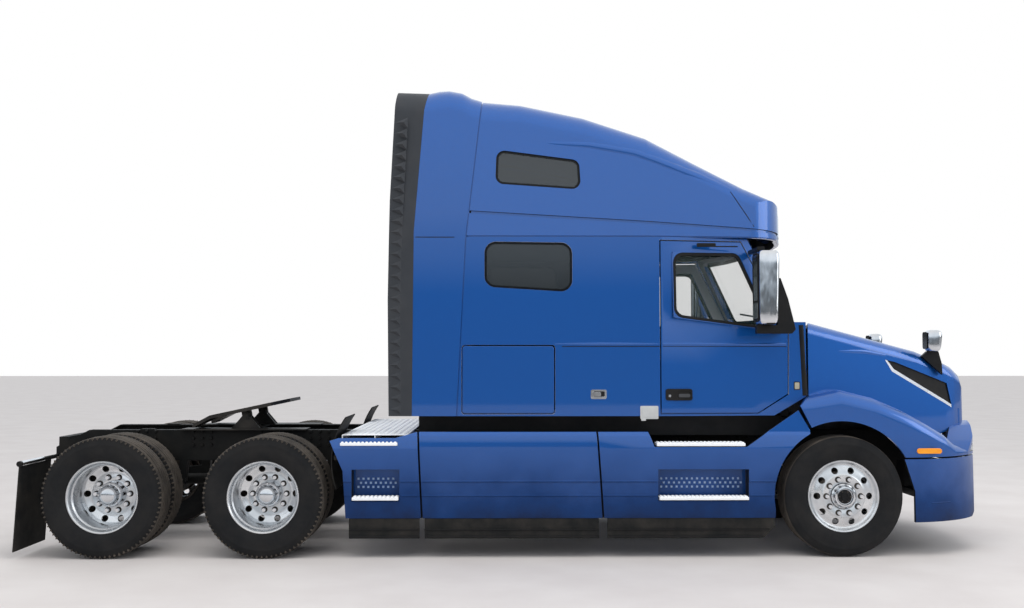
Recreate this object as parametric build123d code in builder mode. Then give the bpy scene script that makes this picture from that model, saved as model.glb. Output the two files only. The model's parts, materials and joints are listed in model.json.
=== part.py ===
from build123d import *
from math import cos, radians, sin
import os

os.makedirs("parts", exist_ok=True)

# Semi truck tractor unit with a tall sleeper. Millimetres, +X forward, +Y to the left, +Z up.
# The origin is on the ground, under the middle of the overall length.

# Wheels and axles
wheelbase = 5466
tandem_spacing = 1321
front_overhang = 1400
rear_overhang = 1384
tyre_radius = 500
tyre_width = 290
rim_width = 236
rim_flange_radius = 298
bead_radius = 284
rim_wall = 12
dual_spacing = 343
drive_track_half = 918
steer_track_half = 1055
kingpin_offset = 90
flange_width = 9
tyre_bulge_radius = 400
shoulder_width = 28
disc_thickness = 26
nut_circle = 143
hand_hole_count = 10
hand_hole_circle = 218
hand_hole_radius = 27
spindle_radius = 45
kingpin_radius = 22
running_fit = 0.05

overall_length = front_overhang + wheelbase + rear_overhang
axle_z = tyre_radius
front_axle_x = overall_length / 2 - front_overhang
front_drive_x = front_axle_x - wheelbase + tandem_spacing / 2
rear_drive_x = front_axle_x - wheelbase - tandem_spacing / 2
bumper_face_x = front_axle_x + front_overhang
rear_edge_x = front_axle_x - wheelbase - rear_overhang

# Ladder frame
rail_top_z = 1002
rail_depth = 270
rail_flange = 88
rail_thickness = 9
rail_half_spacing = 430
rail_front_x = front_axle_x + 1010
rail_rear_x = rear_edge_x + 20
rail_taper_length = 290
rail_taper_drop = 150
flap_top_z = 775
flap_reach = 1215
pad_x = front_axle_x - 6025
pad_height = 8

# Cab and sleeper
cab_half_width = 1200
cab_wall = 50
cab_bottom_z = 1165
cowl_z = 1950
roof_seam_z = 2660
seam_width = 8
seam_depth = 14
panel_gap = 10
glass_inset = 14
glass_thickness = 6
sleeper_rear_x = front_axle_x - 3209
sleeper_rear_lean = 73
taper_start_x = front_axle_x - 1500
cowl_toe_x = front_axle_x - 550
cowl_toe_z = 1348
cowl_corner_x = front_axle_x - 270
cowl_corner_y = 1080
cowl_centre_x = front_axle_x - 100
pillar_base_x = front_axle_x - 400
pillar_base_y = 1092
screen_base_x = front_axle_x - 190
pillar_top_x = front_axle_x - 760
pillar_top_y = 1065
screen_top_x = front_axle_x - 560

# Roof cap
roof_rear_x = front_axle_x - 3000
roof_rear_z = 3850
roof_nose_top_x = front_axle_x - 455
roof_nose_top_z = 2962
roof_nose_x = front_axle_x - 278
roof_nose_slope_deg = 22
roof_wall = 40
side_lean = 0.0455
ledge_rear_z = 2862
ledge_front_z = 2690

# Each row is one cross-section: x from the front axle, height, half width, radius of the upper corners
roof_sections = (
    (-3220, 3868, 1200, 220),
    (-2682, 3823, 1200, 220),
    (-2150, 3712, 1200, 220),
    (-1615, 3534, 1200, 210),
    (-1200, 3318, 1170, 190),
    (-780, 3106, 1128, 160),
    (-455, 2962, 1110, 130),
    (-270, 2880, 1100, 120),
)

# Rear side panels and flexible extenders
panel_rear_x = front_axle_x - 3585
panel_top_rear_x = front_axle_x - 3462
panel_top_z = 3945
extender_rear_x = front_axle_x - 3790
extender_top_rear_x = front_axle_x - 3728
panel_wall = 40
extender_wall = 25
panel_sections = (
    (-3900, 3925, 1200, 220),
    (-3728, 3933, 1200, 220),
    (-3462, 3925, 1200, 220),
    (-3370, 3945, 1200, 220),
    (-3290, 3950, 1200, 220),
    (-3180, 3930, 1200, 220),
    (-3100, 3885, 1200, 220),
    (-2980, 3848, 1200, 220),
    (-2850, 3838, 1200, 220),
)

# Doors
door_rear_x = front_axle_x - 1512
door_front_x = front_axle_x - 426
door_bottom_z = 1190
door_top_z = 2625
door_limit_deg = 70
luggage_front_x = front_axle_x - 2405
luggage_rear_x = front_axle_x - 3165
luggage_top_z = 1745

# Hood
hood_bottom_z = 819
hood_rear_x = front_axle_x - 252
hood_half_width = 1195
hood_wall = 28
hood_gap = 16
grille_half_width = 470
grille_top_z = 1440
grille_bottom_z = 847
grille_rim = 40
bar_depth = 12
surround_depth = 45
arch_radius = 612
arch_centre_x = front_axle_x - 10

# Each row is one cross-section: x from the front axle, height, half width, radius of the upper corners
nose_sections = (
    (-312, 1972, 1094, 110),
    (816, 1706, 744, 110),
    (1080, 1612, 662, 110),
    (1180, 1568, 615, 110),
    (1262, 1505, 550, 100),
    (1310, 1420, 490, 90),
    (1400, 1310, 480, 80),
)
fender_sections = (
    (-370, 1300, 1195, 90),
    (-262, 1328, 1195, 110),
    (-10, 1380, 1195, 120),
    (271, 1312, 1195, 120),
    (500, 1214, 1195, 120),
    (700, 1110, 1170, 110),
    (900, 1000, 1097, 100),
    (1010, 915, 1032, 80),
    (1100, 875, 961, 40),
    (1180, 850, 881, 20),
)
hood_hinge_x = front_axle_x + 1310
hood_hinge_z = 690
hinge_y = 320
hinge_pin_radius = 15
arm_half = 10

# Bumper
bumper_top_z = 805
bumper_bottom_z = 285
bumper_wall = 35
intake_half_width = 370
intake_bottom_z = 480
intake_top_z = 700
fog_inner_y = 430
fog_outer_y = 650
fog_bottom_z = 620
fog_top_z = 785

# Side fairings
fairing_half_width = 1220
fairing_top_z = 1035
fairing_bottom_z = 325
fairing_wall = 30
# Cross-section of a fairing's outer face: distance from the middle plane and height
fairing_section = (
    (1175, 1260), (1185, 1035), (1205, 1000), (1220, 900), (1220, 628), (1212, 618), (1212, 512), (1204, 500),
    (1190, 300),
)
skirt_bottom_z = 160
fairing_gap = 14
step_fairing_front_x = front_axle_x - 571
tank_fairing_front_x = front_axle_x - 2015
tank_fairing_rear_x = front_axle_x - 3500

# Fifth wheel
coupling_x = front_axle_x - 5150
coupling_pivot_z = 1125
coupling_tilt_deg = 12
plate_half_width = 457
plate_front_reach = 390
plate_rear_reach = 300
plate_ramp_reach = 470
plate_thickness = 30
kingpin_bore_radius = 25.5
coupling_pin_radius = 25


def save(part, name):
    """Label one finished piece and write its STEP file."""
    part.label = name
    export_step(part, f"parts/{name}.step")


def other_side(part):
    """The same piece on the left side of the vehicle."""
    return mirror(part, about=Plane.XZ)


def side_prism(points, y_near, y_far, mode=Mode.ADD):
    """Polygon in the side view, extruded from y_near to y_far inside the open part."""
    with BuildSketch(Plane.XZ.offset(-y_far)) as outline:
        with BuildLine():
            Polyline(*points, close=True)
        make_face()
    extrude(outline.sketch, amount=y_far - y_near, mode=mode)


def block(x_range, y_range, z_range, mode=Mode.ADD):
    """Box between two corners inside the open part."""
    size = (x_range[1] - x_range[0], y_range[1] - y_range[0], z_range[1] - z_range[0])
    with Locations(((x_range[0] + x_range[1]) / 2, (y_range[0] + y_range[1]) / 2, (z_range[0] + z_range[1]) / 2)):
        Box(*size, mode=mode)


def cross_rod(x, z, radius, y_near, y_far, mode=Mode.ADD):
    """Round bar along Y between y_near and y_far inside the open part."""
    with BuildSketch(Plane.XZ.offset(-y_far)) as section:
        with Locations((x, z)):
            Circle(radius)
    extrude(section.sketch, amount=y_far - y_near, mode=mode)


def rounded_loft(sections, floor_z, base_z, lean, inset=0):
    """Volume through cross-sections whose sides lean in above base_z and whose upper corners are rounded."""
    with BuildPart() as volume:
        for x, height, half_width, radius in sections:
            top = height - inset
            half = half_width - inset
            top_half = half - max(top - base_z, 0) * lean
            with BuildSketch(Plane.YZ.offset(front_axle_x + x)) as section:
                with BuildLine():
                    Polyline(
                        (-half, floor_z), (half, floor_z), (half, base_z), (top_half, top), (-top_half, top),
                        (-half, base_z), close=True,
                    )
                make_face()
                fillet(section.vertices().group_by(Axis.Y)[-1], max(radius - inset, 5))
        loft(ruled=True)
    return volume.part


# Wheels: a tyre profile and a rim profile revolved about the axle line


def disc_ring(x, profile):
    """Revolve a closed list of (radius, y) points about the axle line through x."""
    with BuildSketch(Plane.XY.offset(axle_z)) as section:
        with BuildLine():
            Polyline(*[(x + r, y) for r, y in profile], close=True)
        make_face()
    revolve(section.sketch, axis=Axis((x, 0, axle_z), (0, 1, 0)))


def tyre_ring(x, y):
    """One tyre about the axle line through x, its middle plane at y."""
    half = tyre_width / 2
    bead_half = rim_width / 2 - flange_width
    disc_ring(x, [
        (bead_radius, y - bead_half), (tyre_bulge_radius, y - half), (tyre_radius, y - half + shoulder_width),
        (tyre_radius, y + half - shoulder_width), (tyre_bulge_radius, y + half), (bead_radius, y + bead_half),
    ])


def rim_outside(y):
    """Points of the rim that the tyre sits on, from the outer lip to the inner lip."""
    half = rim_width / 2
    seat_half = half - flange_width + 1
    return [
        (rim_flange_radius, y - half), (bead_radius, y - seat_half), (bead_radius, y + seat_half),
        (rim_flange_radius, y + half),
    ]


def hand_holes(x, y_near, y_far):
    """Ring of hand holes through the disc of a rim."""
    with BuildSketch(Plane.XZ.offset(-y_far)) as ring:
        with Locations((x, axle_z)):
            with PolarLocations(hand_hole_circle, hand_hole_count, start_angle=18):
                Circle(hand_hole_radius)
    extrude(ring.sketch, amount=y_far - y_near, mode=Mode.SUBTRACT)


# Right-hand wheels lie at negative y: their outer face points to -Y
rim_bore = bead_radius - rim_wall
spindle_bore = spindle_radius + running_fit
steer_y = -steer_track_half
steer_face_y = steer_y - 96
steer_back_y = steer_face_y + disc_thickness
steer_hub_y = steer_y - 165
with BuildPart() as front_rim_right:
    disc_ring(front_axle_x, [
        (rim_bore, steer_y - rim_width / 2), *rim_outside(steer_y), (rim_bore, steer_y + rim_width / 2),
        (rim_bore, steer_back_y), (spindle_bore, steer_back_y), (spindle_bore, steer_face_y),
        (nut_circle - 32, steer_face_y), (nut_circle - 25, steer_face_y - 12), (nut_circle + 25, steer_face_y - 12),
        (nut_circle + 32, steer_face_y), (rim_bore, steer_face_y),
    ])
    disc_ring(front_axle_x, [
        (0, steer_hub_y), (78, steer_hub_y), (84, steer_face_y - 26), (98, steer_face_y), (0, steer_face_y),
    ])
    hand_holes(front_axle_x, steer_face_y - 20, steer_back_y + 20)
save(front_rim_right.part, "front_rim_right")
save(other_side(front_rim_right.part), "front_rim_left")

with BuildPart() as front_tyre_right:
    tyre_ring(front_axle_x, steer_y)
save(front_tyre_right.part, "front_tyre_right")
save(other_side(front_tyre_right.part), "front_tyre_left")

drive_outer_y = -drive_track_half - dual_spacing / 2
drive_inner_y = -drive_track_half + dual_spacing / 2
drive_face_y = -drive_track_half - disc_thickness / 2
drive_back_y = -drive_track_half + disc_thickness / 2
drum_radius = 205
drum_end_y = drive_inner_y + 60
hub_radius = 102
lip_depth = 40
lip_step = 14
for axle_name, axle_x in (("front_drive", front_drive_x), ("rear_drive", rear_drive_x)):
    with BuildPart() as drive_rim:
        lip_y = drive_outer_y - rim_width / 2
        disc_ring(axle_x, [
            (rim_bore + 4, lip_y), *rim_outside(drive_outer_y), (rim_bore, drive_back_y),
            (spindle_bore, drive_back_y), (spindle_bore, drive_face_y), (rim_bore - lip_step, drive_face_y),
            (rim_bore - lip_step, lip_y + lip_depth + lip_step), (rim_bore + 4, lip_y + lip_depth),
        ])
        disc_ring(axle_x, [
            (rim_bore, drive_inner_y - rim_width / 2), *rim_outside(drive_inner_y),
            (rim_bore, drive_inner_y + rim_width / 2),
        ])
        disc_ring(axle_x, [
            (spindle_bore, drive_back_y), (drum_radius, drive_back_y), (drum_radius, drum_end_y),
            (spindle_bore, drum_end_y),
        ])
        disc_ring(axle_x, [
            (drum_radius, drive_inner_y - 40), (rim_bore, drive_inner_y - 40), (rim_bore, drive_inner_y - 22),
            (drum_radius, drive_inner_y - 22),
        ])
        disc_ring(axle_x, [
            (0, drive_outer_y - 20), (50, drive_outer_y - 14), (88, drive_outer_y + 14),
            (hub_radius, drive_outer_y + 50), (hub_radius, drive_face_y), (0, drive_face_y),
        ])
        hand_holes(axle_x, drive_face_y - 20, drive_back_y + 1)
    save(drive_rim.part, f"{axle_name}_rims_right")
    save(other_side(drive_rim.part), f"{axle_name}_rims_left")
    with BuildPart() as drive_tyres:
        tyre_ring(axle_x, drive_outer_y)
        tyre_ring(axle_x, drive_inner_y)
    save(drive_tyres.part, f"{axle_name}_tyres_right")
    save(other_side(drive_tyres.part), f"{axle_name}_tyres_left")

# Steered axle: a dropped beam with an eye at each end, a forked knuckle on each kingpin
kingpin_y = -steer_track_half + kingpin_offset
eye_radius = 48
eye_height = 100
ear_height = 34
arm_reach = 200
arm_y = kingpin_y
tie_rod_radius = 20
tie_rod_z = axle_z - 118
with BuildPart() as front_axle:
    with BuildSketch(Plane.YZ.offset(front_axle_x - 45)):
        with BuildLine():
            Polyline(
                (kingpin_y, axle_z + 45), (kingpin_y, axle_z - 45), (kingpin_y + 110, axle_z - 45),
                (kingpin_y + 290, axle_z - 110), (-kingpin_y - 290, axle_z - 110), (-kingpin_y - 110, axle_z - 45),
                (-kingpin_y, axle_z - 45), (-kingpin_y, axle_z + 45), (-kingpin_y - 120, axle_z + 45),
                (-kingpin_y - 300, axle_z - 15), (kingpin_y + 300, axle_z - 15), (kingpin_y + 120, axle_z + 45),
                close=True,
            )
        make_face()
    extrude(amount=90)
    for side in (-1, 1):
        with Locations((front_axle_x, side * -kingpin_y, axle_z)):
            Cylinder(eye_radius, eye_height)
            Cylinder(kingpin_radius + running_fit, eye_height, mode=Mode.SUBTRACT)

with BuildPart() as knuckle_right:
    for level in (-1, 1):
        with Locations((front_axle_x, kingpin_y, axle_z + level * (eye_height / 2 + 6 + ear_height / 2))):
            Cylinder(eye_radius, ear_height)
    with Locations((front_axle_x, kingpin_y, axle_z)):
        Cylinder(kingpin_radius, eye_height + 2 * ear_height)
    back_y = kingpin_y - eye_radius - 8
    ear_reach = eye_height / 2 + 6 + ear_height
    block((front_axle_x - 45, front_axle_x + 45), (back_y - 30, back_y), (axle_z - ear_reach, axle_z + ear_reach))
    for level in (-1, 1):
        ear_z = axle_z + level * (eye_height / 2 + 6 + ear_height / 2)
        block(
            (front_axle_x - 40, front_axle_x + 40), (back_y, kingpin_y),
            (ear_z - ear_height / 2, ear_z + ear_height / 2),
        )
    cross_rod(front_axle_x, axle_z, spindle_radius, steer_face_y, back_y)
    arm_z = axle_z - eye_height / 2 - 6 - ear_height
    block(
        (front_axle_x - arm_reach, front_axle_x - 30), (arm_y - 20, arm_y + 20), (arm_z, arm_z + ear_height),
    )
save(knuckle_right.part, "knuckle_right")
save(other_side(knuckle_right.part), "knuckle_left")

rod_eye_z = arm_z - 22
with BuildPart() as tie_rod:
    cross_rod(front_axle_x - arm_reach + 30, rod_eye_z - 14, tie_rod_radius, arm_y, -arm_y)
    for side in (-1, 1):
        with Locations((front_axle_x - arm_reach + 30, side * arm_y, rod_eye_z - 10)):
            Cylinder(28, 40)
save(tie_rod.part, "tie_rod")

# Drive axles: a housing with a round bowl and a spindle for each dual wheel
bowl_radius = 190
pinion_x = 330
pinion_z = axle_z + 20
with BuildPart() as drive_axles:
    for axle_x in (front_drive_x, rear_drive_x):
        cross_rod(axle_x, axle_z, 75, drum_end_y + 10, -drum_end_y - 10)
        cross_rod(axle_x, axle_z, spindle_radius, drive_face_y, -drive_face_y)
        for reach, tip_radius, tip_z in ((-150, 100, axle_z), (pinion_x, 95, pinion_z)):
            with BuildSketch(Plane.YZ.offset(axle_x - (90 if reach > 0 else -90))):
                with Locations((0, axle_z)):
                    Circle(bowl_radius)
            with BuildSketch(Plane.YZ.offset(axle_x + reach)):
                with Locations((0, tip_z)):
                    Circle(tip_radius)
            loft(ruled=True)

# Ladder frame: two channels with tapered tails and closed by crossmembers
rail_bottom_z = rail_top_z - rail_depth
rail_side = [
    (rail_front_x, rail_bottom_z), (rail_front_x, rail_top_z), (rail_rear_x + rail_taper_length, rail_top_z),
    (rail_rear_x, rail_top_z - rail_taper_drop), (rail_rear_x, rail_bottom_z),
]
crossmember_places = (
    rail_front_x - 60, front_axle_x - 2300, front_axle_x - 3700, front_drive_x,
    (front_drive_x + rear_drive_x) / 2, rail_rear_x + 60,
)
with BuildPart() as frame_rails:
    for side in (-1, 1):
        outer = side * rail_half_spacing
        inner = side * (rail_half_spacing - rail_flange)
        side_prism(rail_side, min(outer, inner), max(outer, inner))
    pocket = [
        (rail_rear_x - 10, rail_bottom_z + rail_thickness), (rail_front_x + 10, rail_bottom_z + rail_thickness),
        (rail_front_x + 10, rail_top_z - rail_thickness),
        (rail_rear_x + rail_taper_length, rail_top_z - rail_thickness),
        (rail_rear_x - 10, rail_top_z - rail_taper_drop - 14),
    ]
    for side in (-1, 1):
        web = side * (rail_half_spacing - rail_thickness)
        inner = side * (rail_half_spacing - rail_flange - 5)
        side_prism(pocket, min(web, inner), max(web, inner), mode=Mode.SUBTRACT)
    reach = rail_half_spacing - rail_thickness
    for x in crossmember_places:
        block((x - 40, x + 40), (-reach, reach), (rail_bottom_z + 60, rail_top_z - 60))
    for side in (-1, 1):
        for x in (front_axle_x - 650, front_axle_x - 3000):
            y_near = side * rail_half_spacing
            y_far = side * (rail_half_spacing - rail_flange)
            block((x - 50, x + 50), (min(y_near, y_far), max(y_near, y_far)), (rail_top_z, cab_bottom_z))
        root = side * (rail_half_spacing - rail_thickness)
        tip = side * flap_reach
        cross_rod(rear_edge_x + 44, flap_top_z, 18, min(root, tip), max(root, tip))
        near = min(side * (hinge_y + 16), side * (hinge_y + 36))
        side_prism([
            (rail_front_x - 95, 800), (rail_front_x - 95, 900), (rail_front_x - 25, 900),
            (hood_hinge_x + 22, hood_hinge_z + 22), (hood_hinge_x + 22, hood_hinge_z - 22),
            (rail_front_x - 25, 790),
        ], near, near + 20)
        pin_ends = (side * (hinge_y - 14), side * (hinge_y + 16))
        cross_rod(hood_hinge_x, hood_hinge_z, hinge_pin_radius, min(pin_ends), max(pin_ends))
        pad_y = side * (rail_half_spacing - rail_flange / 2)
        block((pad_x - 60, pad_x + 60), (pad_y - 40, pad_y + 40), (rail_top_z, rail_top_z + pad_height))
save(frame_rails.part, "frame_rails")

# Springs, air bags, trailing arms and dampers
with BuildPart() as suspension:
    for side in (-1, 1):
        y_mid = side * (rail_half_spacing - 40)
        y_low = y_mid - 38
        y_high = y_mid + 38
        leaf_z = axle_z - 15
        side_prism([
            (front_axle_x + 690, leaf_z + 160), (front_axle_x + 150, leaf_z + 50),
            (front_axle_x - 150, leaf_z + 50), (front_axle_x - 690, leaf_z + 160),
            (front_axle_x - 690, leaf_z + 115), (front_axle_x - 150, leaf_z), (front_axle_x + 150, leaf_z),
            (front_axle_x + 690, leaf_z + 115),
        ], y_low, y_high)
        for hanger_x in (front_axle_x - 690, front_axle_x + 690):
            block((hanger_x - 35, hanger_x + 35), (y_low, y_high), (leaf_z + 115, rail_bottom_z))
        for axle_x in (front_drive_x, rear_drive_x):
            side_prism([
                (axle_x + 470, rail_bottom_z), (axle_x + 400, rail_bottom_z), (axle_x + 380, axle_z + 110),
                (axle_x + 60, axle_z + 75), (axle_x - 80, axle_z + 75), (axle_x - 420, axle_z - 70),
                (axle_x - 420, axle_z - 110), (axle_x - 60, axle_z - 20), (axle_x + 60, axle_z + 20),
                (axle_x + 450, axle_z + 40),
            ], y_low, y_high)
            with Locations((axle_x - 330, y_mid, (axle_z - 30 + rail_bottom_z) / 2)):
                Cylinder(120, rail_bottom_z - axle_z + 30)
    for side in (-1, 1):
        y_mid = side * (rail_half_spacing - 40)
        for axle_x in (front_drive_x, rear_drive_x):
            cross_rod(axle_x, axle_z, 75, y_mid - 45, y_mid + 45, mode=Mode.SUBTRACT)
save(suspension.part, "suspension")

# Engine and gearbox as one plain block each, then the axles joined by the propeller shafts
engine_rear_x = front_axle_x - 60
gearbox_rear_x = front_axle_x - 1500
gearbox_shaft_z = 800
with BuildPart() as engine:
    block((engine_rear_x, front_axle_x + 800), (-290, 290), (760, 1560))
    block((gearbox_rear_x, engine_rear_x), (-210, 210), (660, 1120))
save(engine.part, "engine")

with BuildPart() as axles:
    add(front_axle.part)
    add(drive_axles.part)
    with BuildSketch(Plane.YZ.offset(front_drive_x + pinion_x)):
        with Locations((0, pinion_z)):
            Circle(60)
    with BuildSketch(Plane.YZ.offset(gearbox_rear_x)):
        with Locations((0, gearbox_shaft_z)):
            Circle(60)
    loft(ruled=True)
    with BuildSketch(Plane.YZ.offset(rear_drive_x + pinion_x)):
        with Locations((0, pinion_z)):
            Circle(50)
    extrude(amount=tandem_spacing - pinion_x - 120)
save(axles.part, "axles")

# Fuel tanks hidden behind the middle fairings, seen from below
with BuildPart() as fuel_tanks:
    for side in (-1, 1):
        with BuildSketch(Plane.YZ.offset(tank_fairing_rear_x + 60)):
            with Locations((side * 800, 680)):
                Circle(310)
        extrude(amount=tank_fairing_front_x - tank_fairing_rear_x - 120)
        for x in (tank_fairing_rear_x + 200, tank_fairing_front_x - 200):
            y_near = side * rail_half_spacing
            y_far = side * (rail_half_spacing + 170)
            block((x - 30, x + 30), (min(y_near, y_far), max(y_near, y_far)), (rail_bottom_z, rail_top_z - 20))
save(fuel_tanks.part, "fuel_tanks")


# Cab and sleeper: prism below the windscreen, lofted greenhouse above, walls of one thickness


def cab_plan(corner_x, corner_y, centre_x):
    """Plan outline of the cab with a bowed front."""
    with BuildLine() as outline:
        l1 = Polyline(
            (sleeper_rear_x - 60, -cab_half_width), (taper_start_x, -cab_half_width), (corner_x, -corner_y),
        )
        l2 = ThreePointArc(l1 @ 1, (centre_x, 0), (corner_x, corner_y))
        Polyline(
            l2 @ 1, (taper_start_x, cab_half_width), (sleeper_rear_x - 60, cab_half_width),
            (sleeper_rear_x - 60, -cab_half_width),
        )
    make_face(outline.edges())


def cab_volume(inset, top_inset=0):
    """Solid cab, inset from the outer skin on every side but the top."""
    with BuildPart() as volume:
        with BuildSketch(Plane.XY.offset(cab_bottom_z + inset)):
            cab_plan(cowl_corner_x, cowl_corner_y, cowl_centre_x)
            if inset:
                offset(amount=-inset, kind=Kind.INTERSECTION)
        extrude(amount=cowl_z - cab_bottom_z - 2 * inset)
        with BuildSketch(Plane.XY.offset(cowl_z - inset)):
            cab_plan(pillar_base_x, pillar_base_y, screen_base_x)
            if inset:
                offset(amount=-inset, kind=Kind.INTERSECTION)
        with BuildSketch(Plane.XY.offset(roof_seam_z - top_inset)):
            cab_plan(pillar_top_x, pillar_top_y, screen_top_x)
            if inset:
                offset(amount=-inset, kind=Kind.INTERSECTION)
        loft(ruled=True)
        side_prism([
            (sleeper_rear_x + inset, cab_bottom_z + inset),
            (sleeper_rear_x + sleeper_rear_lean + inset, roof_seam_z), (bumper_face_x, roof_seam_z),
            (bumper_face_x, cowl_toe_z + inset), (cowl_corner_x + 40, cowl_toe_z + inset),
            (cowl_toe_x, cab_bottom_z + inset),
        ], -2 * cab_half_width, 2 * cab_half_width, mode=Mode.INTERSECT)
    return volume.part


def door_outline(margin):
    """Side outline of the cab door, grown outwards by margin."""
    with BuildSketch() as panel:
        with BuildLine():
            Polyline(
                (door_rear_x, door_bottom_z), (door_rear_x, door_top_z), (front_axle_x - 815, door_top_z),
                (door_front_x, 1860), (door_front_x - 8, 1346), (front_axle_x - 690, door_bottom_z), close=True,
            )
        make_face()
        if margin:
            offset(amount=margin, kind=Kind.INTERSECTION)
    return panel.sketch


def door_window_outline(margin):
    """Side outline of the door glass, grown outwards by margin."""
    with BuildSketch() as window:
        with BuildLine():
            Polyline(
                (front_axle_x - 1412, 1985), (front_axle_x - 1412, 2530), (front_axle_x - 850, 2530),
                (front_axle_x - 560, 1905), (front_axle_x - 650, 1890), close=True,
            )
        make_face()
        fillet(window.vertices(), 30)
        if margin:
            offset(amount=margin)
    return window.sketch


def luggage_outline(margin):
    """Side outline of the luggage door, grown outwards by margin."""
    width = luggage_front_x - luggage_rear_x + 2 * margin
    height = luggage_top_z - door_bottom_z + 2 * margin
    with BuildSketch() as panel:
        with Locations(((luggage_front_x + luggage_rear_x) / 2, (luggage_top_z + door_bottom_z) / 2)):
            RectangleRounded(width, height, 25)
    return panel.sketch


def sleeper_window_outline(margin):
    """Lower bunk window in the side view, grown outwards by margin."""
    with BuildSketch() as window:
        with BuildLine():
            Polyline(
                (front_axle_x - 2985, 2240), (front_axle_x - 2985, 2620), (front_axle_x - 2251, 2610),
                (front_axle_x - 2251, 2195), close=True,
            )
        make_face()
        fillet(window.vertices(), 95)
        if margin:
            offset(amount=margin)
    return window.sketch


def roof_window_outline(margin):
    """Upper bunk window in the side view, grown outwards by margin."""
    with BuildSketch() as window:
        with BuildLine():
            Polyline(
                (front_axle_x - 2895, 3110), (front_axle_x - 2885, 3400), (front_axle_x - 2190, 3310),
                (front_axle_x - 2175, 3060), close=True,
            )
        make_face()
        fillet(window.vertices(), 70)
        if margin:
            offset(amount=margin)
    return window.sketch


def windscreen_outline(margin):
    """Windscreen in the front view, grown outwards by margin."""
    with BuildSketch() as window:
        with BuildLine():
            Polyline((-1000, cowl_z + 35), (-950, 2625), (950, 2625), (1000, cowl_z + 35), close=True)
        make_face()
        fillet(window.vertices(), 60)
        if margin:
            offset(amount=margin)
    return window.sketch


cab_outer = cab_volume(0)
cab_inner = cab_volume(cab_wall)
glass_outer = cab_volume(glass_inset)
glass_inner = cab_volume(glass_inset + glass_thickness)
side_reach = 500

# Side walls alone, without the floor: what a door takes out of the shell
with BuildPart() as cab_walls:
    add(cab_outer)
    add(cab_inner, mode=Mode.SUBTRACT)
    add(Pos(0, 0, -2 * cab_wall) * cab_inner, mode=Mode.SUBTRACT)

with BuildPart() as doorways:
    for side in (-1, 1):
        with BuildSketch(Plane.XZ.offset(-side * (cab_half_width - side_reach / 2))):
            add(door_outline(panel_gap))
        extrude(amount=-side * side_reach)
        with BuildSketch(Plane.XZ.offset(-side * (cab_half_width - cab_wall))):
            add(luggage_outline(panel_gap))
        extrude(amount=-side * 2 * cab_wall)
    add(cab_walls.part, mode=Mode.INTERSECT)

with BuildPart() as cab_shell:
    add(cab_outer)
    add(cab_inner, mode=Mode.SUBTRACT)
    add(doorways.part, mode=Mode.SUBTRACT)
    for side in (-1, 1):
        with BuildSketch(Plane.XZ.offset(-side * (cab_half_width - side_reach / 2))):
            add(sleeper_window_outline(0))
        extrude(amount=-side * side_reach, mode=Mode.SUBTRACT)
    with BuildSketch(Plane.YZ.offset(screen_top_x - 350)):
        add(windscreen_outline(0))
    extrude(amount=900, mode=Mode.SUBTRACT)
save(cab_shell.part, "cab_shell")

with BuildPart() as windscreen:
    with BuildSketch(Plane.YZ.offset(screen_top_x - 350)):
        add(windscreen_outline(0))
    extrude(amount=900)
    add(glass_outer, mode=Mode.INTERSECT)
    add(glass_inner, mode=Mode.SUBTRACT)

with BuildPart() as door_right:
    with BuildSketch(Plane.XZ.offset(cab_half_width - side_reach / 2)):
        add(door_outline(0))
    extrude(amount=side_reach)
    add(cab_walls.part, mode=Mode.INTERSECT)
    with BuildSketch(Plane.XZ.offset(cab_half_width - side_reach / 2)):
        add(door_window_outline(0))
    extrude(amount=side_reach, mode=Mode.SUBTRACT)
save(door_right.part, "door_right")
save(other_side(door_right.part), "door_left")

with BuildPart() as door_glass_right:
    with BuildSketch(Plane.XZ.offset(cab_half_width - side_reach / 2)):
        add(door_window_outline(0))
    extrude(amount=side_reach)
    add(glass_outer, mode=Mode.INTERSECT)
    add(glass_inner, mode=Mode.SUBTRACT)
save(door_glass_right.part, "door_glass_right")
save(other_side(door_glass_right.part), "door_glass_left")

with BuildPart() as luggage_door_right:
    with BuildSketch(Plane.XZ.offset(cab_half_width - cab_wall)):
        add(luggage_outline(0))
    extrude(amount=2 * cab_wall)
    add(cab_walls.part, mode=Mode.INTERSECT)
save(luggage_door_right.part, "luggage_door_right")
save(other_side(luggage_door_right.part), "luggage_door_left")


# Roof cap: rounded cross-sections, cut to the slanting back, the nose arc and the plan


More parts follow.
